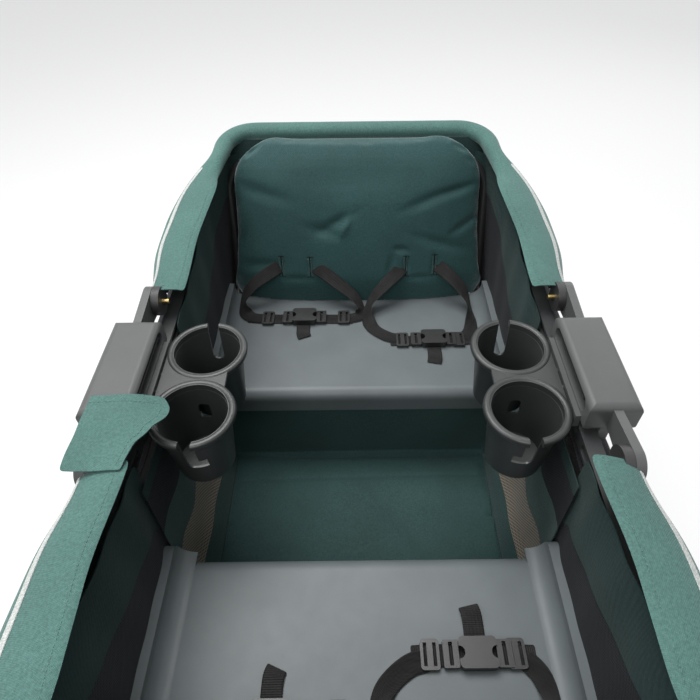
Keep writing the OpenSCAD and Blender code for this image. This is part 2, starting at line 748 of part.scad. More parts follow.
module hub_block_profile() translate([hub_in_x + hub_w / 2, hub_mid_z])
    rounded_rect(hub_w, hub_h, hub_round);
module hub(side) color(hub_grey) placed() at_side(side) difference() {
    union() {
        intersection() {
            plate_y(-hub_half_l, hub_half_l) hub_block_profile();
            plate_x(hub_in_x - overrun, hub_in_x + hub_w + overrun)
                translate([0, hub_mid_z]) rounded_rect(2 * hub_half_l, hub_h, hub_round);
        }
        plate_x(cheek_x, cheek_x + cheek_t) hub_cheek_profile();
        for (y = [-1, 1]) rod_x(pin_r, rail_x - rail_w / 2, cheek_x + cheek_t, y * hub_pivot_y, rail_z);
        for (y = [-1, 1]) plate_x(ear_x, ear_x + disc_t) link_shape(
            [y * (hub_half_l - disc_r), canopy_z], hub_h / 2 - hub_round, [y * canopy_y, canopy_z], disc_r
        );
        translate([hub_in_x - ledge_w, -ledge_half_l, rim_z - ledge_drop])
            cube([ledge_w + overrun / 2, 2 * ledge_half_l, ledge_drop]);
        tray_socket();
    }
    finger_recess();
    for (y = [-1, 1])
        rod_x(screw_r + run_gap, ear_x - overrun, ear_x + disc_t + overrun, y * canopy_y, canopy_z);
}
module hub_cheek_profile() {
    rise = hub_bottom_z + hub_round - rail_z;
    for (y = [-1, 1]) translate([y * hub_pivot_y, rail_z]) circle(knuckle_r);
    translate([-hub_pivot_y, rail_z - knuckle_r]) square([2 * hub_pivot_y, rise + knuckle_r]);
    translate([-hub_pivot_y - knuckle_r, rail_z]) square([2 * (hub_pivot_y + knuckle_r), rise]);
}
module tray_socket() difference() {
    translate([socket_in_x - socket_wall, -socket_half_l - socket_wall, rim_z - ledge_drop])
        cube([hub_in_x - socket_in_x + socket_wall - ledge_w / 2, 2 * (socket_half_l + socket_wall),
            ledge_drop - plate_drop - tray_t - seat_gap]);
    translate([socket_in_x, -socket_half_l, rim_z - ledge_drop + socket_floor])
        cube([hub_in_x - ledge_w - socket_in_x, 2 * socket_half_l, ledge_drop]);
}
recess_z = hub_top_z - recess_top - recess_h;

module finger_recess() plate_x(hub_in_x - overrun, hub_in_x + recess_d)
    translate([0, recess_z + recess_h / 2])
        rounded_rect(2 * recess_half_l, recess_h, recess_h / 2 - run_gap);

paddle_half_l = recess_half_l - recess_h / 2 - side_gap;
paddle_z = recess_z + recess_h - paddle_travel - paddle_t - side_gap;

module paddle(side) color(frame_black) placed() at_side(side)
    translate([hub_in_x + side_gap, -paddle_half_l, paddle_z])
        cube([recess_d - 2 * side_gap, 2 * paddle_half_l, paddle_t]);

// Cup tray: two tapered cups under figure-of-eight rims, with mug handle slots and a hook into the hub
rim_r = cup_r + rim_w;
web_share = 0.62;
hook_t = 5;
hook_half_l = socket_half_l - seat_gap;
tray_play = 3;
tray_edge_x = hub_in_x - ledge_w - tray_play;
rim_h = 10;
rim_round = 4;
plate_drop = 1.5;
mug_slot_share = 0.62;
mug_hook = 9;
grip_window_share = 0.5;

module tray_outline() {
    for (y = [-1, 1]) translate([cup_x, y * cup_y]) circle(rim_r - plate_drop);
    translate([cup_x - rim_r * web_share, -cup_y]) square([rim_r * web_share, 2 * cup_y]);
    translate([cup_x, -cup_y]) square([tray_edge_x - cup_x, 2 * cup_y]);
}
module cup_shape(grow, deep) rotate_extrude() polygon([
    [0, -deep - grow],
    [cup_floor_r + grow, -deep - grow],
    [cup_r + grow, 0],
    [0, 0]
]);
module cup_tray(side) color(hub_grey) placed() at_side(side) difference() {
    union() {
        translate([0, 0, rim_z - plate_drop - tray_t]) linear_extrude(tray_t) tray_outline();
        for (y = [-1, 1]) translate([cup_x, y * cup_y, rim_z]) {
            translate([0, 0, -rim_h / 2]) cup_shape(cup_wall, cup_depth - rim_h / 2);
            rotate_extrude() translate([cup_r + rim_w / 2, -rim_h / 2])
                rounded_rect(rim_w, rim_h, rim_round);
        }
        translate([tray_edge_x - hook_t, -hook_half_l, rim_z - ledge_drop + socket_floor + seat_gap])
            cube([hook_t, 2 * hook_half_l, ledge_drop - socket_floor - seat_gap - plate_drop - tray_t / 2]);
    }
    for (y = [-1, 1]) translate([cup_x, y * cup_y, rim_z]) {
        translate([0, 0, -rim_h / 2]) cup_shape(0, cup_depth - rim_h / 2);
        translate([0, 0, -rim_h]) cylinder(r = cup_r, h = rim_h + overrun);
    }
    translate([cup_x, cup_y, rim_z]) mug_slot_cut(0);
    translate([cup_x, -cup_y, rim_z]) rotate([0, 0, 180]) mug_slot_cut(1);
    translate([cup_x, -cup_y, rim_z]) grip_window();
}
// Slot through the rim and the wall on the +Y side, with a hook at its foot when hooked is 1
module mug_slot_cut(hooked) {
    deep = cup_depth * mug_slot_share;
    plate_y(cup_floor_r / 2, rim_r + overrun) {
        translate([-mug_slot / 2, mug_slot / 2 - deep]) square([mug_slot, deep + overrun - mug_slot / 2]);
        translate([0, mug_slot / 2 - deep]) circle(mug_slot / 2);
        if (hooked > 0) translate([0, -deep]) square([mug_slot / 2 + mug_hook, mug_slot]);
    }
}
// Window in a cup's wall below its rim
module grip_window() {
    deep = cup_depth * grip_window_share;
    plate_y(cup_floor_r / 2, cup_r + cup_wall) translate([0, -deep])
        rounded_rect(mug_slot, deep / 2, mug_slot / 3);
}

// Brass screws that carry the canopy bows on the hub ears
screw_r = 3.5;
screw_head_r = 7;
screw_head_t = 4;
screw_out = 9;
bow_disc_x = ear_x - side_gap - disc_t;

module canopy_screws() color(brass) placed() both_sides() for (y = [-1, 1]) {
    rod_x(screw_r, bow_disc_x - screw_out, ear_x + disc_t + screw_head_t, y * canopy_y, canopy_z);
    rod_x(screw_head_r, ear_x + disc_t + seat_gap, ear_x + disc_t + screw_head_t, y * canopy_y, canopy_z);
}

// Side rails between the hubs and the posts, channelled on their inner face
rail_channel = 6;
rail_flange = 4;

module rail(side, end) color(frame_black) placed() at_end(end) at_side(side) difference() {
    plate_x(rail_x - rail_w / 2, rail_x + rail_w / 2) {
        for (y = [hub_pivot_y, post_y]) translate([y, rail_z]) circle(knuckle_r);
        translate([(hub_pivot_y + post_y) / 2, rail_z]) square([rail_len, rail_h], center = true);
    }
    for (y = [hub_pivot_y, post_y]) rod_x(pin_r + run_gap, rail_x - rail_w, rail_x + rail_w, y, rail_z);
    plate_x(rail_x - rail_w, rail_x - rail_w / 2 + rail_channel)
        translate([(hub_pivot_y + post_y) / 2, rail_z])
            rounded_rect(rail_len - 4 * knuckle_r, rail_h - 2 * rail_flange, rail_flange);
}

// Canopy: a bow on two pivot discs, with its cloth folded back
bow_foot_w = bow_disc_x + disc_t / 2;
module at_canopy(end) placed() at_end(end)
    translate([0, canopy_y, canopy_z]) rotate([bow_rest, 0, 0]) children();
function bow_slant() = atan2(bow_foot_w - bow_top_w, bow_reach);
function bow_tangent() = bow_bend * tan((90 - bow_slant()) / 2);

// Outline of the bow's centre line, grown by d
module bow_outline(d, start) {
    out = [cos(bow_slant()), sin(bow_slant())];
    along = [-sin(bow_slant()), cos(bow_slant())];
    centre = [bow_top_w - bow_tangent(), bow_reach - bow_bend];
    foot = [bow_foot_w, 0] + d * out + start * along;
    half = [foot, centre + (bow_bend + d) * out, centre + [0, bow_bend + d]];
    polygon(concat(half, [for (k = [2:-1:0]) [-half[k][0], half[k][1]]]));
    both_sides() translate(centre) circle(bow_bend + d);
}
module canopy_bow(end) color(frame_black) at_canopy(end) difference() {
    union() {
        translate([0, 0, -bow_r]) linear_extrude(2 * bow_r) difference() {
            bow_outline(bow_r, disc_r - overrun);
            bow_outline(-bow_r, 0);
        }
        both_sides() rod_x(disc_r, bow_disc_x, bow_disc_x + disc_t, 0, 0);
    }
    both_sides() rod_x(screw_r + run_gap, bow_disc_x - overrun, bow_disc_x + disc_t + overrun, 0, 0);
}

// The cover's section along the arms, as out and up shares of the flap
cover_bore_share = 1.6;
cover_bore = bow_r * cover_bore_share;
cover_cols = 12;
arm_stations = 9;
bend_stations = 4;
flap_out = 46;
cover_foot = 34;
flap_fold = 3;
flap_folds = 4;
arm_shares = [
    [-0.42, 0.1], [-0.3, 0.2], [0, 0.26], [0.35, 0.2], [0.62, -0.05], [0.85, -0.5], [1, -1], [0.9, -1.02],
    [0.74, -0.52], [0.42, -0.16], [0.1, -0.19], [-0.25, -0.16]
];
flap_end_share = 0.7;
function smooth(t) = t * t * (3 - 2 * t);
// Right half of the bow's centre line: position, outward direction and share of the arm section
function arm_line() = let (
    slant = bow_slant(),
    run = bow_reach / cos(slant) - bow_tangent(),
    along = [-sin(slant), cos(slant)],
    out = [cos(slant), sin(slant)]
) [
    for (k = [0:arm_stations]) let (
        s = mix(cover_foot, run, k / arm_stations),
        past = max(0, s / run - flap_end_share) / (1 - flap_end_share)
    ) [[bow_foot_w, 0] + along * s, out, 1 - smooth(past), k / arm_stations]
];
function bend_line() = let (
    slant = bow_slant(),
    centre = [bow_top_w - bow_tangent(), bow_reach - bow_bend]
) [
    for (k = [1:bend_stations]) let (a = mix(slant, 90, k / bend_stations), out = [cos(a), sin(a)])
        [centre + bow_bend * out, out, 0, 0]
];
function mirrored(line) = [
    for (k = [len(line) - 1:-1:0]) let (p = line[k])
        [[-p[0][0], p[0][1]], [-p[1][0], p[1][1]], p[2], p[3]]
];
function bow_line() = let (half = concat(arm_line(), bend_line())) concat(half, mirrored(half));
function cover_ring(p, i) = let (
    fold = flap_fold * sin(360 * flap_folds * p[3]) * p[2],
    bar = [bar_shares[i][0] * sleeve_out, bar_shares[i][1] * cover_top],
    arm = [arm_shares[i][0] * flap_out + max(0, arm_shares[i][0]) * fold, arm_shares[i][1] * flap_drop],
    off = mix(bar, arm, p[2])
) [p[0][0] + p[1][0] * off[0], p[0][1] + p[1][1] * off[0], off[1]];
bore_start = 165;
function bore_ring(p, i) = let (
    a = bore_start - 360 * i / cover_cols,
    off = cover_bore * cos(a)
) [p[0][0] + p[1][0] * off, p[0][1] + p[1][1] * off, cover_bore * sin(a)];

module canopy_cover(end) color(sage_green) at_canopy(end) let (line = bow_line()) soft_solid(
    [for (p = line, i = [0:cover_cols - 1]) cover_ring(p, i)],
    [for (p = line, i = [0:cover_cols - 1]) bore_ring(p, i)],
    cover_cols, len(line) - 1, true
);

// Harness: webbing from the pad's slits to the lap belts, lying on the bench.
// Places are shares of the bench's half width, of the seat's depth and of the pad's length.
strap_w = 25;
strap_t = 2;
strap_lift = seat_gap;
slit_height_share = 0.26;
slit_shares = [-0.52, -0.33, 0.33, 0.52];
belt_depth_shares = [0.2, 0.47];
belt_reach_shares = [[-0.74, 0.02], [0.2, 0.74]];
crotch_shares = [[-0.37, 0.42], [0.49, 0.7]];
strap_steps = 12;

// A point on the bench, and one on the face of the pad
function on_bench(x_share, depth_share, lift) =
    [x_share * bench_half_w, mix(seat_back, seat_front, depth_share), bench_z + lift];
function on_pad(x_share, height_share, lift) = let (
    u = x_share * bench_half_w / pad_half_w(height_share * pad_l),
    d = pad_t - pad_edge - (pad_t - pad_edge) * pad_swell(u, height_share) - lift,
    h = height_share * pad_l
) [x_share * bench_half_w, seat_back + d / cos(lean) + h * sin(lean), bench_z + pad_lift + h * cos(lean)];

function bezier(a, b, c, d, t) =
    pow(1 - t, 3) * a + 3 * pow(1 - t, 2) * t * b + 3 * (1 - t) * t * t * c + pow(t, 3) * d;
// A strap's edge points along a curve; its face turns from n0 to n1, and lift is along its face
function strap_grid(a, b, c, d, n0, n1, lift) = [
    for (k = [0:strap_steps]) let (
        t = k / strap_steps,
        p = bezier(a, b, c, d, t),
        ahead = bezier(a, b, c, d, t + 1 / strap_steps / 4),
        behind = bezier(a, b, c, d, t - 1 / strap_steps / 4),
        along = unit(ahead - behind),
        face = unit(mix(n0, n1, t)),
        across = unit(cross(along, face))
    ) each [p - across * strap_w / 2 + face * lift, p + across * strap_w / 2 + face * lift]
];
module strap(a, b, c, d, n0, n1) soft_solid(
    strap_grid(a, b, c, d, n0, n1, strap_t), strap_grid(a, b, c, d, n0, n1, 0), 1, strap_steps
);
out_of_pad = [0, -cos(lean), sin(lean)];
up = [0, 0, 1];
strap_clear = seat_gap;
strap_hang = 22;
shoulder_depth_share = 0.1;
shoulder_mid_share = 0.45;

module harness(end) color(webbing_black) placed() at_end(end) for (seat = [0, 1]) {
    belt = belt_depth_shares[seat];
    reach = belt_reach_shares[seat];
    for (k = [0, 1]) shoulder_strap(slit_shares[2 * seat + k], reach[k], belt - shoulder_depth_share);
    lap_belt(reach, belt);
    crotch_strap(crotch_shares[seat], belt);
}
module shoulder_strap(slit, foot, depth) strap(
    on_pad(slit, slit_height_share, strap_clear),
    on_pad(mix(slit, foot, shoulder_mid_share), slit_height_share, strap_hang),
    on_bench(foot, depth / 3, strap_lift),
    on_bench(foot, depth, strap_lift),
    out_of_pad, up
);
module lap_belt(reach, depth) strap(
    on_bench(reach[0], depth, strap_lift),
    on_bench(mix(reach[0], reach[1], 1 / 3), depth, strap_lift),
    on_bench(mix(reach[0], reach[1], 2 / 3), depth, strap_lift),
    on_bench(reach[1], depth, strap_lift),
    up, up
);
module crotch_strap(place, belt) strap(
    on_bench(place[0], belt + strap_w / (seat_back - seat_front), strap_lift),
    on_bench(place[0], mix(belt, place[1], 1 / 2), strap_lift),
    on_bench(place[0], mix(belt, place[1], 2 / 3), strap_lift),
    on_bench(place[0], place[1], strap_lift), up, up
);

// Buckles: a side-release body between two tongues, and tri-glides further along the belt
buckle_l = 44;
buckle_w = 34;
buckle_t = 11;
tongue_l = 18;
glide_l = 22;
glide_bar = 4;
glide_shares = [0.16, 0.84];

module buckles(end) color(webbing_black) placed() at_end(end) for (seat = [0, 1])
    belt_fittings(belt_reach_shares[seat], belt_depth_shares[seat], crotch_shares[seat][0]);
module belt_fittings(reach, depth, middle) {
    base = strap_lift + strap_t + seat_gap;
    translate(on_bench(middle, depth, base)) {
        linear_extrude(buckle_t) difference() {
            rounded_rect(buckle_l, buckle_w, buckle_t / 2);
            for (x = [-1, 1]) translate([x * buckle_l / 2, 0]) circle(buckle_w / 5);
        }
        both_sides() translate([buckle_l / 2 + tongue_l / 2, 0, 0]) tongue();
    }
    for (s = glide_shares) translate(on_bench(mix(reach[0], reach[1], s), depth, base)) tri_glide();
}
module tongue() linear_extrude(buckle_t / 2) difference() {
    rounded_rect(tongue_l, buckle_w - glide_bar, glide_bar / 2);
    square([tongue_l / 4, strap_w], center = true);
}
module tri_glide() linear_extrude(glide_bar) difference() {
    rounded_rect(glide_l, strap_w + 2 * glide_bar, glide_bar);
    for (x = [-1, 1]) translate([x * glide_l / 4, 0]) square([glide_bar, strap_w], center = true);
}

// Push handle with its foam grip and pivot buttons, and the brake pedal
handle_x = post_x + handle_disc_t / 2 + side_gap + handle_disc_t / 2;
handle_lug = 8;
button_r = 10;
button_out = 4;
button_seat = 4;
button_face_x = handle_x + handle_disc_t / 2;
button_bore_x = button_face_x - button_seat - button_travel;
stud_bore_x = handle_x - handle_disc_t / 2 + handle_stud_l + side_gap;
grip_half_l = handle_x - handle_bend - handle_r;
grip_ridge = 1;
grip_shares = [0.02, 0.25, 0.49, 0.73, 0.94];

module at_handle() placed() at_end(-1)
    translate([0, handle_y, handle_z]) rotate([90 - handle_tilt, 0, 0]) children();

module push_handle() color(frame_black) at_handle() difference() {
    union() {
        u_tube(handle_x, handle_l, handle_bend, handle_r, tube_wall, handle_disc_r + overrun);
        both_sides()
            rod_x(handle_disc_r + handle_lug, handle_x - handle_disc_t / 2, button_face_x, 0, 0);
    }
    both_sides() {
        rod_x(handle_stud_r + run_gap, handle_x - handle_disc_t, stud_bore_x, 0, 0);
        rod_x(button_r + run_gap, button_bore_x, button_face_x + overrun, 0, 0);
    }
}
module handle_grip() color(rubber) at_handle()
    translate([-grip_half_l, handle_l, 0]) rotate([0, 90, 0]) difference() {
        union() {
            cylinder(r = grip_r - grip_ridge, h = 2 * grip_half_l);
            for (s = grip_shares) translate([0, 0, s * 2 * grip_half_l - grip_ridge])
                cylinder(r = grip_r, h = 2 * grip_ridge + grip_r);
        }
        translate([0, 0, -overrun]) cylinder(r = handle_r + run_gap, h = 2 * grip_half_l + grip_r);
    }
module handle_button(side) color(hub_grey) at_handle() at_side(side)
    rod_x(button_r, button_face_x - button_seat, button_face_x + button_out, 0, 0);

pedal_l = 90;
pedal_reach = 78;
pedal_t = 8;
pedal_collar = 5;
pedal_rise = 12;
module brake_pedal() color(frame_black) placed() at_end(-1) difference() {
    union() {
        plate_x(-pedal_l / 6, pedal_l / 6) {
            translate([axle_y, rear_wheel_r]) circle(beam_r + pedal_collar);
            link_shape([axle_y + beam_r, rear_wheel_r], pedal_collar + pedal_t / 2,
                [axle_y + pedal_reach, rear_wheel_r + pedal_rise], pedal_t / 2);
        }
        translate([0, axle_y + pedal_reach, rear_wheel_r + pedal_rise - pedal_t / 2])
            linear_extrude(pedal_t) rounded_rect(pedal_l, pedal_reach / 2, pedal_t);
    }
    rod_x(beam_r + run_gap, -pedal_l, pedal_l, axle_y, rear_wheel_r);
}

post(-1, -1);  // rear_post_left
post(1, -1);  // rear_post_right
cross_tube(-1);  // rear_cross_tube
seat_frame(-1);  // rear_seat_frame
back_frame(-1);  // rear_back_frame
axle_beam();  // rear_axle_beam
bench(-1);  // rear_bench
backrest_pad(-1);  // rear_backrest_pad
back_panel(-1);  // rear_back_panel
side_walls(-1);  // rear_side_walls
harness(-1);  // rear_harness
buckles(-1);  // rear_buckles
footwell_wall(-1);  // rear_footwell_wall
footwell_sides();
post(-1, 1);  // front_post_left
post(1, 1);  // front_post_right
cross_tube(1);  // front_cross_tube
seat_frame(1);  // front_seat_frame
back_frame(1);  // front_back_frame
caster_beam();
bench(1);  // front_bench
backrest_pad(1);  // front_backrest_pad
back_panel(1);  // front_back_panel
side_walls(1);  // front_side_walls
harness(1);  // front_harness
buckles(1);  // front_buckles
footwell_wall(1);  // front_footwell_wall
rear_floor_board();
front_floor_board();
floor_pad();
hub(-1);  // left_hub
hub(1);  // right_hub
paddle(-1);  // left_paddle
paddle(1);  // right_paddle
cup_tray(-1);  // left_cup_tray
cup_tray(1);  // right_cup_tray
canopy_screws();
rail(-1, -1);  // rear_rail_left
rail(1, -1);  // rear_rail_right
rail(-1, 1);  // front_rail_left
rail(1, 1);  // front_rail_right
canopy_bow(1);  // front_canopy_bow
canopy_cover(1);  // front_canopy_cover
canopy_bow(-1);  // rear_canopy_bow
canopy_cover(-1);  // rear_canopy_cover
rear_tyre(-1);  // rear_tyre_left
rear_rim(-1);  // rear_rim_left
rear_tyre(1);  // rear_tyre_right
rear_rim(1);  // rear_rim_right
front_tyre(-1);  // front_tyre_left
front_rim(-1);  // front_rim_left
front_tyre(1);  // front_tyre_right
front_rim(1);  // front_rim_right
caster_fork(-1);  // left_caster_fork
caster_fork(1);  // right_caster_fork
push_handle();
handle_grip();
handle_button(-1);  // left_handle_button
handle_button(1);  // right_handle_button
brake_pedal();
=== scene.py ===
import json
import math

import bpy
from mathutils import Matrix, Vector, noise
from mathutils.bvhtree import BVHTree


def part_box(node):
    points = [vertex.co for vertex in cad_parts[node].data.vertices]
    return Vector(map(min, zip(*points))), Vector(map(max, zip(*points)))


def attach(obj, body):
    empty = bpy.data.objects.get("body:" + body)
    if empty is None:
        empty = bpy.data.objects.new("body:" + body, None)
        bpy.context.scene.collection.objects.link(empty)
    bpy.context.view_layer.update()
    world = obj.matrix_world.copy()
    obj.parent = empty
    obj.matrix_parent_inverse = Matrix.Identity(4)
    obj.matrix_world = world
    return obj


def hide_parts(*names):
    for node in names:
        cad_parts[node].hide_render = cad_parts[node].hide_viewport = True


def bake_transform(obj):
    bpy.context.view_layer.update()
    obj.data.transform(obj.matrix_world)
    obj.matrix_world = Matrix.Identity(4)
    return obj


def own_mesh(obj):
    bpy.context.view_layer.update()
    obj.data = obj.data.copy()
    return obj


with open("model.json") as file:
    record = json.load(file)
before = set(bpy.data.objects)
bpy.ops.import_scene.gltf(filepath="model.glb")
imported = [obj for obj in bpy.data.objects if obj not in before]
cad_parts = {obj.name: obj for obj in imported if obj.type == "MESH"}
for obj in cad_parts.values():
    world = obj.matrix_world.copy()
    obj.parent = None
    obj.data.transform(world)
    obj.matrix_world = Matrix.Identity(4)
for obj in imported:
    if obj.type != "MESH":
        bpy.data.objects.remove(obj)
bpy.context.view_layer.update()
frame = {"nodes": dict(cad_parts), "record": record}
cadNodes = frame["nodes"]
scene = bpy.context.scene
scene.view_settings.view_transform = "Standard"

hubLow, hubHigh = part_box("left_hub")
midY = (hubLow.y + hubHigh.y) / 2  # the wagon's middle, along its length


def wagonPoint(x, y, z):  # millimetres from the wagon's middle, in the row frame
    return Vector((x / 1000, y / 1000 + midY, z / 1000))


def pick(piece):
    bpy.ops.object.select_all(action="DESELECT")
    piece.select_set(True)
    bpy.context.view_layer.objects.active = piece


def applyModifier(piece, kind, **settings):
    pick(piece)
    modifier = piece.modifiers.new(kind.lower(), kind)
    for key, value in settings.items():
        setattr(modifier, key, value)
    bpy.ops.object.modifier_apply(modifier=modifier.name)


def shadeByAngle(piece, angle):
    pick(piece)
    bpy.ops.object.shade_smooth_by_angle(angle=math.radians(angle))


def recalcNormals(piece, merge=0.00001):
    pick(piece)
    bpy.ops.object.mode_set(mode="EDIT")
    bpy.ops.mesh.select_all(action="SELECT")
    bpy.ops.mesh.remove_doubles(threshold=merge)
    bpy.ops.mesh.normals_make_consistent(inside=False)
    bpy.ops.object.mode_set(mode="OBJECT")


def lerp(a, b, t):
    return a + (b - a) * t


def ease(t):
    t = min(1, max(0, t))
    return t * t * (3 - 2 * t)


# A cloth grid from rows of points, with a UV map in metres: u across a row, v along the rows
def clothGrid(name, rows, loop=False):
    columns = len(rows[0])
    span = columns if loop else columns - 1
    faces, cells = [], []
    for j in range(len(rows) - 1):
        for i in range(span):
            a, b = j * columns + i, j * columns + (i + 1) % columns
            faces.append((a, b, b + columns, a + columns))
            cells.append(((i, j), (i + 1, j), (i + 1, j + 1), (i, j + 1)))
    mesh = bpy.data.meshes.new(name)
    mesh.from_pydata([p for row in rows for p in row], [], faces)
    across = []
    for row in rows:
        lengths = [0.0]
        for i in range(span):
            lengths.append(lengths[-1] + (row[(i + 1) % columns] - row[i]).length)
        across.append(lengths)
    along = []
    for i in range(columns):
        lengths = [0.0]
        for j in range(len(rows) - 1):
            lengths.append(lengths[-1] + (rows[j + 1][i] - rows[j][i]).length)
        along.append(lengths)
    layer = mesh.uv_layers.new(name="cloth")
    k = 0
    for cell in cells:
        for i, j in cell:
            layer.data[k].uv = (across[j][i], along[i % columns][j])
            k += 1
    piece = bpy.data.objects.new(name, mesh)
    scene.collection.objects.link(piece)
    return piece


def finishCloth(piece, thickness, levels=1):
    applyModifier(piece, "SUBSURF", levels=levels, render_levels=levels)
    applyModifier(piece, "SOLIDIFY", thickness=thickness, offset=0)
    shadeByAngle(piece, 60)


def clothPiece(name, rows, thickness, finish, levels=1):
    piece = clothGrid(name, rows)
    finishCloth(piece, thickness, levels)
    recalcNormals(piece)
    dressed(piece, finishes[finish])
    return piece


def surfaceOf(piece):
    points = [vertex.co.copy() for vertex in piece.data.vertices]
    return BVHTree.FromPolygons(points, [tuple(face.vertices) for face in piece.data.polygons])


def settle(tree, spot, lift):
    place, facing, index, gap = tree.find_nearest(spot)
    return place + facing * lift, facing


# Short threads along a line, each with the way its cloth faces
def stitches(name, line, facings, pitch=0.0046, long=0.0031, wide=0.00045):
    points, faces = [], []
    reach, k, spent = pitch / 2, 0, 0.0
    while k < len(line) - 1:
        step = (line[k + 1] - line[k]).length
        if reach > spent + step or step == 0:
            spent += step
            k += 1
            continue
        share = (reach - spent) / step
        spot = line[k].lerp(line[k + 1], share)
        way = (line[k + 1] - line[k]).normalized()
        face = facings[k].lerp(facings[k + 1], share).normalized()
        side = way.cross(face).normalized()
        base = len(points)
        points.append(spot - way * long / 2)
        for end in (-0.3, 0.3):
            for a in range(4):
                turn = math.radians(45 + 90 * a)
                around = side * math.cos(turn) + face * math.sin(turn)
                points.append(spot + way * long * end + around * wide)
        points.append(spot + way * long / 2)
        for a in range(4):
            b = (a + 1) % 4
            faces.append((base, base + 1 + b, base + 1 + a))
            faces.append((base + 1 + a, base + 1 + b, base + 5 + b, base + 5 + a))
            faces.append((base + 5 + a, base + 5 + b, base + 9))
        reach += pitch
    mesh = bpy.data.meshes.new(name)
    mesh.from_pydata(points, [], faces)
    piece = bpy.data.objects.new(name, mesh)
    scene.collection.objects.link(piece)
    recalcNormals(piece)
    pick(piece)
    bpy.ops.object.shade_smooth()
    return piece


# A soft round roll along a line
def roll(name, line, radius, facing, around=8):
    turns = [2 * math.pi * a / around for a in range(around)]
    rows = []
    for k, spot in enumerate(line):
        way = (line[min(len(line) - 1, k + 1)] - line[max(0, k - 1)]).normalized()
        side = way.cross(facing).normalized()
        lift = side.cross(way).normalized()
        rows.append([spot + (side * math.cos(t) + lift * math.sin(t)) * radius for t in turns])
    piece = clothGrid(name, rows, True)
    recalcNormals(piece)
    pick(piece)
    bpy.ops.object.shade_smooth()
    return piece


# Finishes
wavePeriod = 0.31416  # a wave texture's period, in metres, at scale 1


def startMaterial(name):
    material = bpy.data.materials.new(name)
    material.use_nodes = True
    tree = material.node_tree
    return material, tree, tree.nodes["Principled BSDF"]


def setInputs(node, values):
    for key, value in values.items():
        node.inputs[key].default_value = value


def addNode(tree, kind, inputs=None, **settings):
    node = tree.nodes.new(kind)
    for key, value in settings.items():
        setattr(node, key, value)
    setInputs(node, inputs or {})
    return node


def objectPlace(tree):
    return addNode(tree, "ShaderNodeTexCoord").outputs["Object"]


def combined(tree, operation, a, b):
    node = addNode(tree, "ShaderNodeMath", operation=operation)
    tree.links.new(a, node.inputs[0])
    tree.links.new(b, node.inputs[1])
    return node.outputs["Value"]


def multiplied(tree, share, a, b):
    node = addNode(tree, "ShaderNodeMix", {"Factor": share}, data_type="RGBA", blend_type="MULTIPLY")
    tree.links.new(a, node.inputs["A"])
    tree.links.new(b, node.inputs["B"])
    return node.outputs["Result"]


def grey(value):
    return (value, value, value, 1)


def scaled(colour, factor):
    return tuple(min(1, c * factor) for c in colour) + (1,)


def twoTone(tree, factor, low, high, start=0.3, end=0.7):
    ramp = addNode(tree, "ShaderNodeValToRGB")
    ramp.color_ramp.elements[0].position = start
    ramp.color_ramp.elements[0].color = low
    ramp.color_ramp.elements[1].position = end
    ramp.color_ramp.elements[1].color = high
    tree.links.new(factor, ramp.inputs["Fac"])
    return ramp.outputs["Color"]


def weaveHeight(tree, coordinates, pitch):
    # two crossing sets of threads
    waves = []
    for turn in (0.6, -0.9):
        mapping = addNode(tree, "ShaderNodeMapping", {"Rotation": (0.3, turn, turn)})
        tree.links.new(coordinates, mapping.inputs["Vector"])
        values = {"Scale": wavePeriod / pitch, "Distortion": 0.4, "Detail": 1}
        wave = addNode(tree, "ShaderNodeTexWave", values)
        tree.links.new(mapping.outputs["Vector"], wave.inputs["Vector"])
        waves.append(wave.outputs["Fac"])
    return combined(tree, "MULTIPLY", *waves)


def chainBump(tree, shader, steps):
    last = None
    for height, distance, strength in steps:
        bump = addNode(tree, "ShaderNodeBump", {"Distance": distance, "Strength": strength})
        tree.links.new(height, bump.inputs["Height"])
        if last:
            tree.links.new(last, bump.inputs["Normal"])
        last = bump.outputs["Normal"]
    tree.links.new(last, shader.inputs["Normal"])


def noiseNode(tree, coordinates, scale, detail=3, roughness=0.55):
    node = addNode(tree, "ShaderNodeTexNoise", {"Scale": scale, "Detail": detail, "Roughness": roughness})
    tree.links.new(coordinates, node.inputs["Vector"])
    return node.outputs["Fac"]


def wovenCloth(name, colour, pitch=0.0011, sheen=0.3, rough=0.7, mottle=0.16, crease=0.0012):
    material, tree, shader = startMaterial(name)
    place = objectPlace(tree)
    weave = weaveHeight(tree, place, pitch)
    soft = noiseNode(tree, place, 9, 5)
    fine = noiseNode(tree, place, 420, 2)
    base = twoTone(tree, soft, scaled(colour, 1 - mottle), scaled(colour, 1 + mottle))
    threads = multiplied(tree, 0.35, base, twoTone(tree, weave, grey(0.55), grey(1.15), 0.05, 0.6))
    grain = multiplied(tree, 1, threads, twoTone(tree, fine, grey(0.8), grey(1.2)))
    tree.links.new(grain, shader.inputs["Base Color"])
    setInputs(shader, {
        "Roughness": rough, "Sheen Weight": sheen, "Sheen Roughness": 0.4, "Specular IOR Level": 0.2})
    chainBump(tree, shader, [
        (noiseNode(tree, place, 28, 3), crease, 0.5), (weave, 0.0004, 0.5), (fine, 0.0002, 0.3)])
    return material


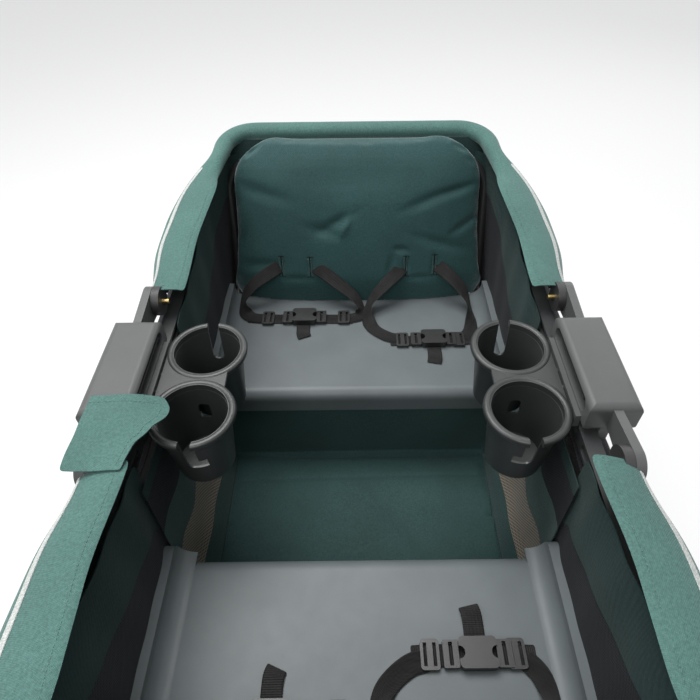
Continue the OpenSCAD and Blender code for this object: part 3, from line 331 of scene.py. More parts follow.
def mouldedPlastic(name, colour, rough=0.42, grain=0.00012, spec=0.5):
    material, tree, shader = startMaterial(name)
    place = objectPlace(tree)
    broad = noiseNode(tree, place, 14, 4)
    base = twoTone(tree, broad, scaled(colour, 0.93), scaled(colour, 1.07))
    tree.links.new(base, shader.inputs["Base Color"])
    spread = addNode(tree, "ShaderNodeMapRange", {"To Min": rough - 0.05, "To Max": rough + 0.07})
    tree.links.new(noiseNode(tree, place, 60, 4), spread.inputs["Value"])
    tree.links.new(spread.outputs["Result"], shader.inputs["Roughness"])
    setInputs(shader, {"Specular IOR Level": spec})
    chainBump(tree, shader, [(noiseNode(tree, place, 1300, 2), grain, 0.6)])
    return material


def paintedTube(name, colour, rough=0.38):
    material, tree, shader = startMaterial(name)
    place = objectPlace(tree)
    tree.links.new(
        twoTone(tree, noiseNode(tree, place, 30, 4), scaled(colour, 0.85), scaled(colour, 1.15)),
        shader.inputs["Base Color"])
    setInputs(shader, {"Roughness": rough, "Coat Weight": 0.15})
    chainBump(tree, shader, [(noiseNode(tree, place, 700, 3), 0.0002, 0.35)])
    return material


def softRubber(name, colour, rough=0.75, tread=0.0):
    material, tree, shader = startMaterial(name)
    place = objectPlace(tree)
    tree.links.new(
        twoTone(tree, noiseNode(tree, place, 22, 5), scaled(colour, 0.8), scaled(colour, 1.3)),
        shader.inputs["Base Color"])
    setInputs(shader, {"Roughness": rough})
    chainBump(tree, shader, [(noiseNode(tree, place, 160, 3), 0.0006 + tread, 0.5)])
    return material


def brightBrass(name):
    material, tree, shader = startMaterial(name)
    place = objectPlace(tree)
    tree.links.new(
        twoTone(tree, noiseNode(tree, place, 80, 3), (0.5, 0.36, 0.13, 1), (0.72, 0.55, 0.25, 1)),
        shader.inputs["Base Color"])
    setInputs(shader, {"Metallic": 1, "Roughness": 0.28})
    chainBump(tree, shader, [(noiseNode(tree, place, 500, 2), 0.0001, 0.3)])
    return material


def ribbedWebbing(name, colour):
    material, tree, shader = startMaterial(name)
    place = addNode(tree, "ShaderNodeUVMap", uv_map="cloth").outputs["UV"]
    turned = addNode(tree, "ShaderNodeMapping", {"Rotation": (0, 0, math.radians(90))})
    tree.links.new(place, turned.inputs["Vector"])
    rib = addNode(tree, "ShaderNodeTexWave", {"Scale": wavePeriod / 0.0024, "Distortion": 0.3})
    tree.links.new(turned.outputs["Vector"], rib.inputs["Vector"])
    cord = addNode(tree, "ShaderNodeTexWave", {"Scale": wavePeriod / 0.0042})
    tree.links.new(place, cord.inputs["Vector"])
    wear = noiseNode(tree, place, 60, 3)
    base = twoTone(tree, wear, scaled(colour, 0.75), scaled(colour, 1.5))
    ribShade = twoTone(tree, rib.outputs["Fac"], grey(0.45), grey(1.2), 0.1, 0.7)
    tree.links.new(multiplied(tree, 0.6, base, ribShade), shader.inputs["Base Color"])
    setInputs(shader, {"Roughness": 0.58, "Sheen Weight": 0.05, "Specular IOR Level": 0.15})
    chainBump(tree, shader, [(cord.outputs["Fac"], 0.0003, 0.5), (rib.outputs["Fac"], 0.0006, 0.8)])
    return material


# Open net: thread and gap told apart by two crossing waves on the sheet's own UV
def netCloth(name, thread, gap, pitch, sheen):
    material, tree, shader = startMaterial(name)
    place = addNode(tree, "ShaderNodeUVMap", uv_map="cloth").outputs["UV"]
    waves = []
    for turn in (45, -45):
        mapping = addNode(tree, "ShaderNodeMapping", {"Rotation": (0, 0, math.radians(turn))})
        tree.links.new(place, mapping.inputs["Vector"])
        wave = addNode(tree, "ShaderNodeTexWave", {"Scale": wavePeriod / pitch, "Distortion": 0.2})
        tree.links.new(mapping.outputs["Vector"], wave.inputs["Vector"])
        waves.append(wave.outputs["Fac"])
    threads = combined(tree, "MAXIMUM", *waves)
    base = twoTone(tree, threads, gap + (1,), thread + (1,), 0.55, 0.85)
    tree.links.new(base, shader.inputs["Base Color"])
    setInputs(shader, {"Roughness": 0.72, "Sheen Weight": sheen, "Specular IOR Level": 0.25})
    soft = noiseNode(tree, objectPlace(tree), 30, 3)
    chainBump(tree, shader, [(soft, 0.002, 0.4), (threads, 0.0005, 0.6)])
    return material


def dressed(piece, material):
    piece.data.materials.clear()
    piece.data.materials.append(material)


finishes = {
    "padGreen": wovenCloth("padSatin", (0.027, 0.074, 0.074), sheen=0.4, rough=0.5, mottle=0.12),
    "floorGreen": wovenCloth("floorCanvas", (0.026, 0.062, 0.058), sheen=0.12, rough=0.7),
    "sage": wovenCloth("sageCanvas", (0.072, 0.155, 0.138), sheen=0.18, rough=0.7, mottle=0.1),
    "liner": wovenCloth("linerCloth", (0.013, 0.033, 0.031), sheen=0.05, rough=0.72),
    "net": netCloth("darkNet", (0.013, 0.014, 0.018), (0.003, 0.003, 0.005), 0.0032, 0.03),
    "vent": netCloth("ventNet", (0.26, 0.22, 0.17), (0.03, 0.032, 0.03), 0.0046, 0.1),
    "webbing": ribbedWebbing("strapWebbing", (0.014, 0.0138, 0.0135)),
    "buckle": mouldedPlastic("buckleBlack", (0.016, 0.016, 0.016), 0.35),
    "hub": mouldedPlastic("hubGrey", (0.078, 0.08, 0.08), 0.42, spec=0.35),
    "tray": mouldedPlastic("trayGrey", (0.032, 0.034, 0.034), 0.33, spec=0.4),
    "bench": mouldedPlastic("benchGrey", (0.118, 0.135, 0.14), 0.4, spec=0.28),
    "rail": paintedTube("railGrey", (0.035, 0.036, 0.037)),
    "frame": paintedTube("frameBlack", (0.018, 0.018, 0.019)),
    "fork": mouldedPlastic("forkBlack", (0.02, 0.02, 0.021), 0.5),
    "wheel": mouldedPlastic("wheelGrey", (0.06, 0.06, 0.062), 0.45),
    "tyre": softRubber("tyreRubber", (0.016, 0.016, 0.016), 0.8, 0.0004),
    "grip": softRubber("gripFoam", (0.02, 0.02, 0.02), 0.85),
    "brass": brightBrass("screwBrass"),
    "strip": wovenCloth("paleTape", (0.5, 0.52, 0.5), 0.0016, 0.1, 0.35, 0.05, 0.0004),
    "thread": wovenCloth("hemThread", (0.1, 0.2, 0.17), 0.0008, 0.1, 0.6, 0.1, 0.0002),
    # painted shade for the slit openings, and the real dark thread of the bar tacks
    "slitShadeAndBarThread": wovenCloth("slitShade", (0.006, 0.012, 0.011), 0.001, 0.0, 0.9, 0.1, 0.0004),
}
nodeFinish = {
    "frame": "frame", "bench": "bench", "rail": "rail", "hub": "hub", "brass": "brass", "tyre": "tyre",
    "wheel": "wheel", "fork": "fork", "grip": "grip", "bow": "fork", "board": "fork", "buckle": "buckle",
    "pad": "floorGreen", "cover_cloth": "sage", "mesh": "net", "webbing": "webbing",
}
slotOf = {s["node"]: s["material_slot"] for s in frame["record"]["subparts"]}
for nodeName, node in cadNodes.items():
    dressed(node, finishes[nodeFinish[slotOf[nodeName]]])
for side in ("left", "right"):
    dressed(cadNodes[side + "_cup_tray"], finishes["tray"])
print("finishes on", len(cadNodes), "nodes")

ends = {"front": 1, "rear": -1}


# Uneven ripple of a sheet: its depth, and its frequencies along and up
def rippleAt(ripple, along, up, seed):
    deep, byLength, byHeight = ripple
    return deep * noise.noise(Vector((along * byLength, up * byHeight, seed)))


def endPoint(end, x, y, z):
    return wagonPoint(x, ends[end] * y, z)


# Backrest pads: the solid's own form, shrunk a little and swelled by cloth pressure
padSize = {"voxel": 0.006, "shrink": 0.001, "pressure": 2.4, "cap": 0.006, "frames": 16, "slack": -0.012,
           "firmLow": 0.352, "firmBand": 0.06, "half": 0.222, "corner": 0.084, "cadCorner": 0.056,
           "drop": 0.009, "seat": 0.3486, "squat": 0.982}


def copyNode(nodeName, pieceName):
    piece = bpy.data.objects.new(pieceName, cadNodes[nodeName].data.copy())
    scene.collection.objects.link(piece)
    recalcNormals(piece, 0.0001)
    return piece


def swell(piece, size):
    pick(piece)
    bpy.ops.object.mode_set(mode="EDIT")
    bpy.ops.mesh.select_all(action="SELECT")
    bpy.ops.transform.shrink_fatten(value=-size["shrink"])
    bpy.ops.object.mode_set(mode="OBJECT")
    piece.data.remesh_voxel_size = size["voxel"]
    bpy.ops.object.voxel_remesh()
    start = [v.co.copy() for v in piece.data.vertices]
    cloth = piece.modifiers.new("swelling", "CLOTH")
    cloth.settings.use_pressure = True
    cloth.settings.uniform_pressure_force = size["pressure"]
    cloth.settings.effector_weights.gravity = 0
    cloth.settings.shrink_min = size["slack"]
    for step in range(1, size["frames"] + 1):
        scene.frame_set(step)
    bpy.ops.object.modifier_apply(modifier="swelling")
    for vertex, rest in zip(piece.data.vertices, start):
        move = vertex.co - rest
        if move.length > size["cap"]:
            move *= size["cap"] / move.length
        if "firmLow" in size:
            move *= ease((rest.z - size["firmLow"]) / size["firmBand"])
        vertex.co = rest + move
    scene.frame_set(1)
    applyModifier(piece, "SUBSURF", levels=1, render_levels=1)
    pick(piece)
    bpy.ops.object.shade_smooth()


# Creases and dents pressed into a pad: place, direction, length, width and depth in millimetres
padDents = [
    ((-38, 0, 512), (1, 0, 0.55), 46, 9, 5), ((-22, 0, 506), (0.4, 0, 1), 30, 7, -4),
    ((-60, 0, 496), (1, 0, -0.3), 40, 10, 4), ((125, 0, 548), (1, 0, 0.35), 60, 9, 4),
    ((176, 0, 560), (1, 0, 0.2), 42, 7, 5), ((196, 0, 500), (1, 0, 0.5), 36, 7, 5),
    ((150, 0, 470), (1, 0, -0.35), 70, 9, 4), ((-170, 0, 560), (1, 0, -0.2), 60, 12, 4),
    ((-180, 0, 430), (1, 0, 0.15), 50, 10, 4), ((60, 0, 430), (0.2, 0, 1), 34, 7, 3),
    ((0, 0, 585), (1, 0, 0.05), 170, 26, 3),
    ((-141, 0, 428), (0, 0, 1), 26, 5, 3.5), ((-88, 0, 428), (0, 0, 1), 26, 5, 3.5),
    ((88, 0, 428), (0, 0, 1), 26, 5, 3.5), ((141, 0, 428), (0, 0, 1), 26, 5, 3.5),
    ((-114, 0, 408), (1, 0, 0), 34, 6, 2.5), ((114, 0, 408), (1, 0, 0), 34, 6, 2.5),
    ((80, 0, 462), (1, 0, -0.2), 16, 6, 4), ((-206, 0, 470), (0.3, 0, 1), 40, 9, 3),
]


def pressDents(piece, end):
    facings = [max(0, -vertex.normal.y * ends[end]) for vertex in piece.data.vertices]
    for vertex, facing in zip(piece.data.vertices, facings):
        spot = vertex.co
        push = 0.0
        for centre, way, long, wide, deep in padDents:
            offset = Vector(((spot.x * 1000 - centre[0]), 0, spot.z * 1000 - centre[2]))
            line = Vector(way).normalized()
            along = offset.dot(line)
            aside = (offset - line * along).length
            push += deep * math.exp(-(along / long) ** 2 * 2 - (aside / wide) ** 2)
        vertex.co.y += ends[end] * facing * push / 1000


# The swelling squares the top corners, so they are rounded again
def roundCorners(piece, size):
    top = max(vertex.co.z for vertex in piece.data.vertices)

    def inset(z, radius):
        over = min(radius, max(0, z - (top - radius)))
        return radius - math.sqrt(radius ** 2 - over ** 2)

    for vertex in piece.data.vertices:
        new, old = (size["half"] - inset(vertex.co.z, size[key]) for key in ("corner", "cadCorner"))
        vertex.co.x *= new / old


def seatPad(piece, size):
    for vertex in piece.data.vertices:
        height = vertex.co.z - size["drop"] - size["seat"]
        vertex.co.z = max(size["seat"], size["seat"] + height * size["squat"])


pads = {}
for end in ends:
    pad = copyNode(end + "_backrest_pad", end + "PadCushion")
    swell(pad, padSize)
    roundCorners(pad, padSize)
    pressDents(pad, end)
    seatPad(pad, padSize)
    dressed(pad, finishes["padGreen"])
    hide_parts(end + "_backrest_pad")
    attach(pad, end + "_half")
    pads[end] = pad
print("backrest pads")

# Harness slits: a thin dark sheet of painted shade in the opening between two welts, with a bar of dark
# thread at each end
slitSize = {"places": (-141, -88, 88, 141), "low": 402, "high": 440, "steps": 8, "half": 1.4, "welt": 1.5,
            "bar": 5.5, "weltShare": 0.7, "castFrom": 220, "gapLift": 0.0006, "weltLift": 0.0002,
            "barLift": 0.0012, "barPitch": 0.0016, "barLong": 0.0026, "barWide": 0.0006,
            "gapThickness": 0.0004, "strapZ": 421, "strapSink": -0.004}
slitStart = {}


def padSpot(tree, end, x, z, lift):
    place, facing, index, gap = tree.ray_cast(
        endPoint(end, x, slitSize["castFrom"], z), Vector((0, ends[end], 0)))
    return place + facing * lift


for end in ends:
    tree = surfaceOf(pads[end])
    out = Vector((0, -ends[end], 0))
    for place in slitSize["places"]:
        steps = slitSize["steps"]
        heights = [lerp(slitSize["low"], slitSize["high"], k / steps) for k in range(steps + 1)]
        tag = f"{end}Slit{'L' if place < 0 else 'R'}{abs(place)}"
        columns = [place + side * slitSize["half"] for side in (-1, 0, 1)]
        rows = [[padSpot(tree, end, x, z, slitSize["gapLift"]) for x in columns] for z in heights]
        # The slit's opening is a thin dark sheet laid on the pad: painted shade, not a real hole
        gap = clothGrid(tag + "Gap", rows)
        applyModifier(gap, "SOLIDIFY", thickness=slitSize["gapThickness"], offset=0)
        dressed(gap, finishes["slitShadeAndBarThread"])
        made = [gap]
        for side in (-1, 1):
            x = place + side * (slitSize["half"] + slitSize["welt"] * slitSize["weltShare"])
            line = [padSpot(tree, end, x, z, slitSize["weltLift"]) for z in heights]
            welt = roll(f"{tag}Welt{'L' if side < 0 else 'R'}", line, slitSize["welt"] / 1000, out)
            dressed(welt, finishes["padGreen"])
            made.append(welt)
        for z in (slitSize["low"], slitSize["high"]):
            across = [place + side * slitSize["bar"] for side in (-1, 0, 1)]
            line = [padSpot(tree, end, x, z, slitSize["barLift"]) for x in across]
            sizes = (slitSize[key] for key in ("barPitch", "barLong", "barWide"))
            bar = stitches(f"{tag}Bar{z}", line, [out] * 3, *sizes)
            dressed(bar, finishes["slitShadeAndBarThread"])
            made.append(bar)
        for piece in made:
            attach(piece, end + "_half")
        slitStart[end, place] = padSpot(tree, end, place, slitSize["strapZ"], slitSize["strapSink"])
print("harness slits")

# Floor pad over the two boards
floorSize = {"voxel": 0.005, "shrink": 0.001, "pressure": 2.0, "cap": 0.004, "frames": 16, "slack": -0.04,
             "spread": 1.04, "hinge": 14, "hingeZ": 180}
# Its creases: depth, the line's factors of x and y, its offset, and width
floorCreases = [(1.6, -0.02, 1, -80, 4), (1.4, 1, 0.7, -60, 14), (1.2, 1, -0.5, 90, 16)]
floorPad = copyNode("floor_pad", "footwellPad")
swell(floorPad, floorSize)
facings = [max(0, vertex.normal.z) for vertex in floorPad.data.vertices]
for vertex, facing in zip(floorPad.data.vertices, facings):
    x, y = vertex.co.x * 1000, (vertex.co.y - midY) * 1000
    vertex.co.x *= floorSize["spread"]
    dip = 0.0
    for deep, byX, byY, offset, wide in floorCreases:
        dip += deep * math.exp(-((x * byX + y * byY + offset) / wide) ** 2)
    vertex.co.z -= facing * dip / 1000
dressed(floorPad, finishes["floorGreen"])
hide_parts("floor_pad")
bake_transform(floorPad)
print("floor pad")

# Canopy cover: one sheet over bow and arms. Sections run from the inner hem to the outer hem, as out and up
coverSize = {
    "foot": 8, "armStations": 24, "bendStations": 8, "barStations": 12, "thickness": 0.0016, "flatW": 0.11,
    "pivotY": 134, "pivotZ": 555, "reach": 391, "rest": 9.2, "footW": 273.65, "barW": 224, "bend": 52,
    "foldDepth": 1.8, "folds": 3.5, "foldSlant": 0.5, "footFade": 0.4, "flapEnd": 0.62, "flapFade": 0.3,
    "gather": 2.2, "gatherWave": 0.11, "gatherFrom": 0.6, "gatherGain": 2.5,
    "ruche": 1.6, "rucheWave": 150, "rucheSlant": 0.7, "rucheAt": 0.9, "rucheSpread": 0.06,
}
barSection = [(5, -15), (-6, -15), (-14, -8), (-13, 4), (-4, 10.5),
              (8, 10.5), (15, 3), (16, -12), (14, -29), (11, -44)]
armSection = [(-23, 11), (-19, 13), (-10, 13), (5, 12), (20, 8),
              (34, 1), (44, -10), (49, -26), (48, -41), (42, -53)]
footSection = [(-37, 16), (-32, 18), (-22, 17.5), (-8, 15), (6, 11),
               (14, 5), (19, -4), (21, -16), (20, -30), (16, -40)]
tapeSize = {"columns": (4, 5), "across": (0.4, 0.65, 0.9), "reach": 0.8, "proud": 2.5, "lift": 0.0006,
            "thickness": 0.0008}
hemSize = {"columns": (1, 2), "across": 0.35, "reach": 0.88, "proud": 1.5, "lift": 0.0002,
           "footColumns": range(1, 7), "footAlong": 0.55}


# Stations along the bow: place, way out, share of the arm and share of the bend
def bowLine(size):
    slant = math.atan2(size["footW"] - size["barW"], size["reach"])
    tangent = size["bend"] * math.tan((math.pi / 2 - slant) / 2)
    run = size["reach"] / math.cos(slant) - tangent
    out = Vector((math.cos(slant), math.sin(slant)))
    along = Vector((-math.sin(slant), math.cos(slant)))
    half = []
    for k in range(size["armStations"] + 1):
        s = lerp(size["foot"], run, k / size["armStations"])
        half.append((Vector((size["footW"], 0)) + along * s, out, s / run, 0.0))
    centre = Vector((size["barW"] - tangent, size["reach"] - size["bend"]))
    for k in range(1, size["bendStations"] + 1):
        a = lerp(slant, math.pi / 2, k / size["bendStations"])
        way = Vector((math.cos(a), math.sin(a)))
        half.append((centre + way * size["bend"], way, 1.0, k / size["bendStations"]))
    for k in range(1, size["barStations"] + 1):
        x = lerp(centre.x, 0, k / size["barStations"])
        half.append((Vector((x, size["reach"])), Vector((0, 1)), 1.0, 1.0))
    mirror = [(Vector((-p.x, p.y)), Vector((-w.x, w.y)), a, b) for p, w, a, b in half[:-1]]
    return half + mirror[::-1]


def armOf(line, side, reach):
    return [s for s in line if s[0].x * side > 0 and s[2] < reach and s[3] == 0]


def coverOffset(size, column, arm):
    foot, mid, bar = footSection[column], armSection[column], barSection[column]
    offset = Vector(foot).lerp(Vector(mid), ease(arm / size["footFade"]))
    return offset.lerp(Vector(bar), ease((arm - size["flapEnd"]) / size["flapFade"]))


def coverPoint(size, end, station, column, lift=0.0):
    place, way, arm, bend = station
    offset = coverOffset(size, column, arm)
    share = column / (len(barSection) - 1)
    fold = size["foldDepth"] * math.sin(arm * size["folds"] * 2 * math.pi + column * size["foldSlant"])
    fold *= share * (1 - bend)
    gather = size["gather"] * math.sin(place.x * size["gatherWave"])
    gather *= max(0, share - size["gatherFrom"]) * size["gatherGain"] * bend
    ruche = size["ruche"] * math.sin(arm * size["rucheWave"] + column * size["rucheSlant"])
    ruche *= math.exp(-((arm - size["rucheAt"]) / size["rucheSpread"]) ** 2) * (1 - bend)
    out, up = offset.x + fold + gather + ruche + lift, offset.y + ruche + lift
    flat = Vector((place.x + way.x * out, place.y + way.y * out, up))
    turn = math.radians(size["rest"])
    y = size["pivotY"] + flat.y * math.cos(turn) - flat.z * math.sin(turn)
    z = size["pivotZ"] + flat.y * math.sin(turn) + flat.z * math.cos(turn)
    return endPoint(end, flat.x, y, z)


def betweenColumns(end, station, size, share):
    a, b = (coverPoint(coverSize, end, station, c, size["proud"]) for c in size["columns"])
    return a.lerp(b, share)


def threadAlong(name, settled):
    return stitches(name, [spot for spot, facing in settled], [facing for spot, facing in settled])


for end in ends:
    line = bowLine(coverSize)
    rows = [[coverPoint(coverSize, end, station, c) for c in range(len(barSection))] for station in line]
    cover = clothPiece(end + "CanopySheet", rows, coverSize["thickness"], "sage", 2)
    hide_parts(end + "_canopy_cover")
    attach(cover, end + "_canopy")
    tree = surfaceOf(cover)
    for side, tag in ((1, "R"), (-1, "L")):
        arm = armOf(line, side, tapeSize["reach"])
        tapeRows = []
        for station in arm:
            spots = [betweenColumns(end, station, tapeSize, share) for share in tapeSize["across"]]
            tapeRows.append([settle(tree, spot, tapeSize["lift"])[0] for spot in spots])
        tape = clothGrid(f"{end}PaleTape{tag}", tapeRows)
        finishCloth(tape, tapeSize["thickness"], 1)
        dressed(tape, finishes["strip"])
        hemSpots, footSpots = [], []
        for station in armOf(line, side, hemSize["reach"]):
            spot = betweenColumns(end, station, hemSize, hemSize["across"])
            hemSpots.append(settle(tree, spot, hemSize["lift"]))
        first, second = arm[:2] if side > 0 else arm[:-3:-1]
        for c in hemSize["footColumns"]:
            a, b = (coverPoint(coverSize, end, station, c, hemSize["proud"]) for station in (first, second))
            footSpots.append(settle(tree, a.lerp(b, hemSize["footAlong"]), hemSize["lift"]))
        threads = [threadAlong(f"{end}HemThread{tag}", hemSpots)]
        threads.append(threadAlong(f"{end}FootThread{tag}", footSpots))
        for piece in threads:
            dressed(piece, finishes["thread"])
        for piece in [tape] + threads:
            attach(piece, end + "_canopy")
print("canopy covers")

# Loose corner of the rear canopy's left flap, lying on the hub. Its inner edge is given as y and x
looseSize = {"back": -150, "front": -52, "outer": 300, "rows": 14, "columns": 14, "high": 577.8,
             "hang": 252, "hangSpan": 40, "droop": 7, "thickness": 0.0016, "flatW": 0.085,
             "hem": 0.1, "hemStart": 0.05, "hemSteps": (16, 12), "proud": 2.0, "lift": 0.0002,
             "turnsAt": -143, "staysAt": -95, "blendZ": 577, "waves": [(1.1, 0.09, 0.05), (0.8, 0, 0.13)],
             "edge": [(-150, 239), (-118, 235), (-98, 224), (-77, 210), (-66, 210), (-52, 219)]}


def looseEdge(size, y):
    for (y0, x0), (y1, x1) in zip(size["edge"], size["edge"][1:]):
        if y <= y1:
            return lerp(x0, x1, ease((y - y0) / (y1 - y0)))
    return size["edge"][-1][1]


def loosePoint(size, u, v, lift=0.0):
    y = lerp(size["back"], size["front"], v)
    x = lerp(size["outer"], looseEdge(size, y), u)
    hang = max(0, (size["hang"] - x) / size["hangSpan"])
    wave = sum(high * math.sin(x * byX + y * byY) for high, byX, byY in size["waves"])
    return wagonPoint(-x, y, size["high"] + wave - size["droop"] * hang ** 2 + lift)


rows = []
for j in range(looseSize["rows"] + 1):
    shares = [i / looseSize["columns"] for i in range(looseSize["columns"] + 1)]
    rows.append([loosePoint(looseSize, u, j / looseSize["rows"]) for u in shares])
loose = clothPiece("rearLooseCorner", rows, looseSize["thickness"], "sage")
tree = surfaceOf(loose)
inside = 1 - looseSize["hem"]
down, across = looseSize["hemSteps"]
route = [(inside, lerp(looseSize["hemStart"], inside, k / down)) for k in range(down + 1)]
route += [(lerp(inside, 0, k / across), inside) for k in range(1, across + 1)]
settled = [settle(tree, loosePoint(looseSize, u, v, looseSize["proud"]), looseSize["lift"]) for u, v in route]
looseThread = threadAlong("rearLooseThread", settled)
dressed(looseThread, finishes["thread"])
for piece in (loose, looseThread):
    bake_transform(piece)
print("loose corner")

# Inner side walls: net below, lined cloth above. A span is the start and length of a change along the wall
wallSize = {"x": 247.6, "front": 112, "low": 374, "lowFront": 328, "lowBack": 336, "topFront": 529,
            "topBack": 590, "foot": 424, "lean": 15.81, "seatZ": 348, "columns": 34, "rows": 14,
            "fold": 1.5, "folds": 4.5, "foldSlant": 1.4, "foldLow": 0.3, "foldBack": 0.3, "sag": 3.0,
            "sagEnd": 0.8, "netFront": 0.34, "netBack": 0.8, "seam": 0.02,
            "clothIn": -0.9, "lap": 3.8, "turnIn": 16, "backLow": 245, "backHigh": 227, "bend": 0.7,
            "frontSpan": (0.03, 0.045), "backSpan": (0.91, 0.04), "calmSpan": (0.08, 0.1),
            "lapSpan": (0.06, 0.08), "turnSpan": (0.965, 0.035), "thickness": 0.0014}


def spanShare(size, key, u):
    start, long = size[key]
    return ease((u - start) / long)


def leanAt(size, foot, z):
    return foot + (z - size["seatZ"]) * math.tan(math.radians(size["lean"]))


def wallPoint(size, end, side, u, v, push=0.0):
    top = lerp(size["topFront"], size["topBack"], u)
    low = lerp(size["lowFront"], size["low"], spanShare(size, "frontSpan", u))
    low = lerp(low, size["lowBack"], spanShare(size, "backSpan", u))
    z = lerp(low, top, v)
    y = lerp(size["front"], leanAt(size, size["foot"], z), u)
    wave = size["fold"] * math.sin(u * size["folds"] * 2 * math.pi + v * size["foldSlant"])
    wave *= lerp(size["foldLow"], 1, v) * spanShare(size, "calmSpan", u)
    sag = -size["sag"] * math.sin(math.pi * min(1, u / size["sagEnd"])) * math.sin(math.pi * v)
    back = lerp(size["backLow"], size["backHigh"], (z - size["low"]) / (size["topBack"] - size["low"]))
    turned = ease((u - size["bend"]) / (1 - size["bend"]))
    x = lerp(size["x"] + wave + sag, back + wave * size["foldBack"], turned)
    x += size["lap"] * (1 - spanShare(size, "lapSpan", u)) - size["turnIn"] * spanShare(size, "turnSpan", u)
    return endPoint(end, side * (x + push), y, z)


def wallPanel(name, size, end, side, upper, finish, push=0.0):
    rows = []
    for j in range(size["rows"] + 1):
        row = []
        for i in range(size["columns"] + 1):
            u = i / size["columns"]
            seam = lerp(size["netFront"], size["netBack"], u)
            v = lerp(seam - size["seam"], 1, j / size["rows"]) if upper else lerp(0, seam, j / size["rows"])
            row.append(wallPoint(size, end, side, u, v, push))
        rows.append(row)
    return clothPiece(name, rows, size["thickness"], finish), rows


for end in ends:
    for side, tag in ((1, "R"), (-1, "L")):
        net, netRows = wallPanel(f"{end}WallNet{tag}", wallSize, end, side, False, "net")
        top, topRows = wallPanel(
            f"{end}WallCloth{tag}", wallSize, end, side, True, "liner", wallSize["clothIn"])
        for piece, rows in ((net, netRows), (top, topRows)):
            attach(piece, end + "_half")
        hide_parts(end + "_side_walls")
print("side walls")

# Outer back panel behind the backrest frame, and a strip above it that closes the gap under the bow
panelSize = {"ripple": 0.003, "byX": 6, "byZ": 3, "seed": 3.1, "flat": (0.45, 0.25)}
topSize = {"low": 556, "high": 609, "half": 225, "foot": 428.5, "rows": 6, "columns": 30,
           "ripple": (1.2, 0.02, 0.02), "seed": 5.0, "thickness": 0.0014}
for end in ends:
    panel = copyNode(end + "_back_panel", end + "BackPanel")
    applyModifier(panel, "SUBSURF", levels=2, render_levels=2)
    for vertex in panel.data.vertices:
        x, z = vertex.co.x * panelSize["byX"], vertex.co.z * panelSize["byZ"]
        wave = noise.noise(Vector((x, panelSize["seed"] * ends[end], z)))
        vertex.co.y += ends[end] * panelSize["ripple"] * wave
    shadeByAngle(panel, 60)
    dressed(panel, finishes["sage"])
    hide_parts(end + "_back_panel")
    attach(panel, end + "_half")
    rows = []
    for j in range(topSize["rows"] + 1):
        z = lerp(topSize["low"], topSize["high"], j / topSize["rows"])
        row = []
        for i in range(topSize["columns"] + 1):
            x = lerp(-topSize["half"], topSize["half"], i / topSize["columns"])
            wave = rippleAt(topSize["ripple"], x, z, topSize["seed"] + ends[end])
            row.append(endPoint(end, x, leanAt(wallSize, topSize["foot"], z) + wave, z))
        rows.append(row)
    strip = clothPiece(end + "TopLiner", rows, topSize["thickness"], "liner")
    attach(strip, end + "_half")
print("back panels")

# Footwell: end walls that turn round the corners and in under the pad, and soft sides with a vent strip
footSize = {"wallY": 143, "low": 175.6, "high": 316, "columns": 24, "rows": 10, "lip": 18,
            "ripple": (1.6, 0.012, 0.013), "seed": 2.0, "lipRound": 3.0, "rise": 2, "turn": 16,
            "outside": 2.6, "thickness": 0.0016, "flatW": 0.49}
sidesSize = {"floorW": 225, "topW": 245, "low": 176, "knee": 245, "high": 498, "half": 128.5, "columns": 22,
             "rows": 8, "fold": 3.0, "folds": 1.3, "foldSlant": 3, "calm": 0.3, "lip": (206, 219),
             "lipDrop": 0.4, "thickness": 0.0016, "keep": 0.23}


def sideReach(size, z):
    flare = min(1, max(0, (z - size["low"]) / (size["knee"] - size["low"])))
    return lerp(size["floorW"], size["topW"], (ease(flare) + flare) / 2)


def footPlan(size, z, inward):
    half = sideReach(sidesSize, z) + size["outside"]
    near = size["wallY"] - size["turn"]
    plan = [(-half + inward, near), (-half + inward, lerp(near, size["wallY"], 0.5))]
    for i in range(size["columns"] + 1):
        plan.append((lerp(-half + inward, half - inward, i / size["columns"]), size["wallY"] - inward))
    return plan + [(half - inward, lerp(near, size["wallY"], 0.5)), (half - inward, near)]


for end in ends:
    heights = [(footSize["low"], footSize["lip"]), (footSize["low"], footSize["lipRound"])]
    start = footSize["low"] + footSize["rise"]
    for j in range(footSize["rows"] + 1):
        heights.append((lerp(start, footSize["high"], j / footSize["rows"]), 0.0))
    rows = []
    for z, inward in heights:
        row = []
        for x, y in footPlan(footSize, z, inward):
            wave = rippleAt(footSize["ripple"], x, z, footSize["seed"] + ends[end])
            row.append(endPoint(end, x, y + wave, z))
        rows.append(row)
    wall = clothPiece(end + "FootwellCloth", rows, footSize["thickness"], "floorGreen")
    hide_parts(end + "_footwell_wall")
    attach(wall, end + "_half")

# Bands of the sides from the floor up: low and high share, finish and step outwards
bands = {
    "Border": (0.0, 0.135, "floorGreen", 0.0), "Vent": (0.125, 0.455, "vent", 0.5),
    "Knee": (0.445, 0.71, "floorGreen", 0.0), "Net": (0.7, 0.95, "net", 0.4),
    "Top": (0.94, 1.0, "liner", 0.0),
}


def sidesPoint(size, side, u, v, push):
    z = lerp(size["low"], size["high"], v)
    calm = ease((1 - abs(u)) / size["calm"])
    wave = size["fold"] * math.sin(u * size["folds"] * 2 * math.pi + v * size["foldSlant"])
    wave *= math.sin(math.pi * v) * calm
    return wagonPoint(side * (sideReach(size, z) + wave + push), u * size["half"], z)


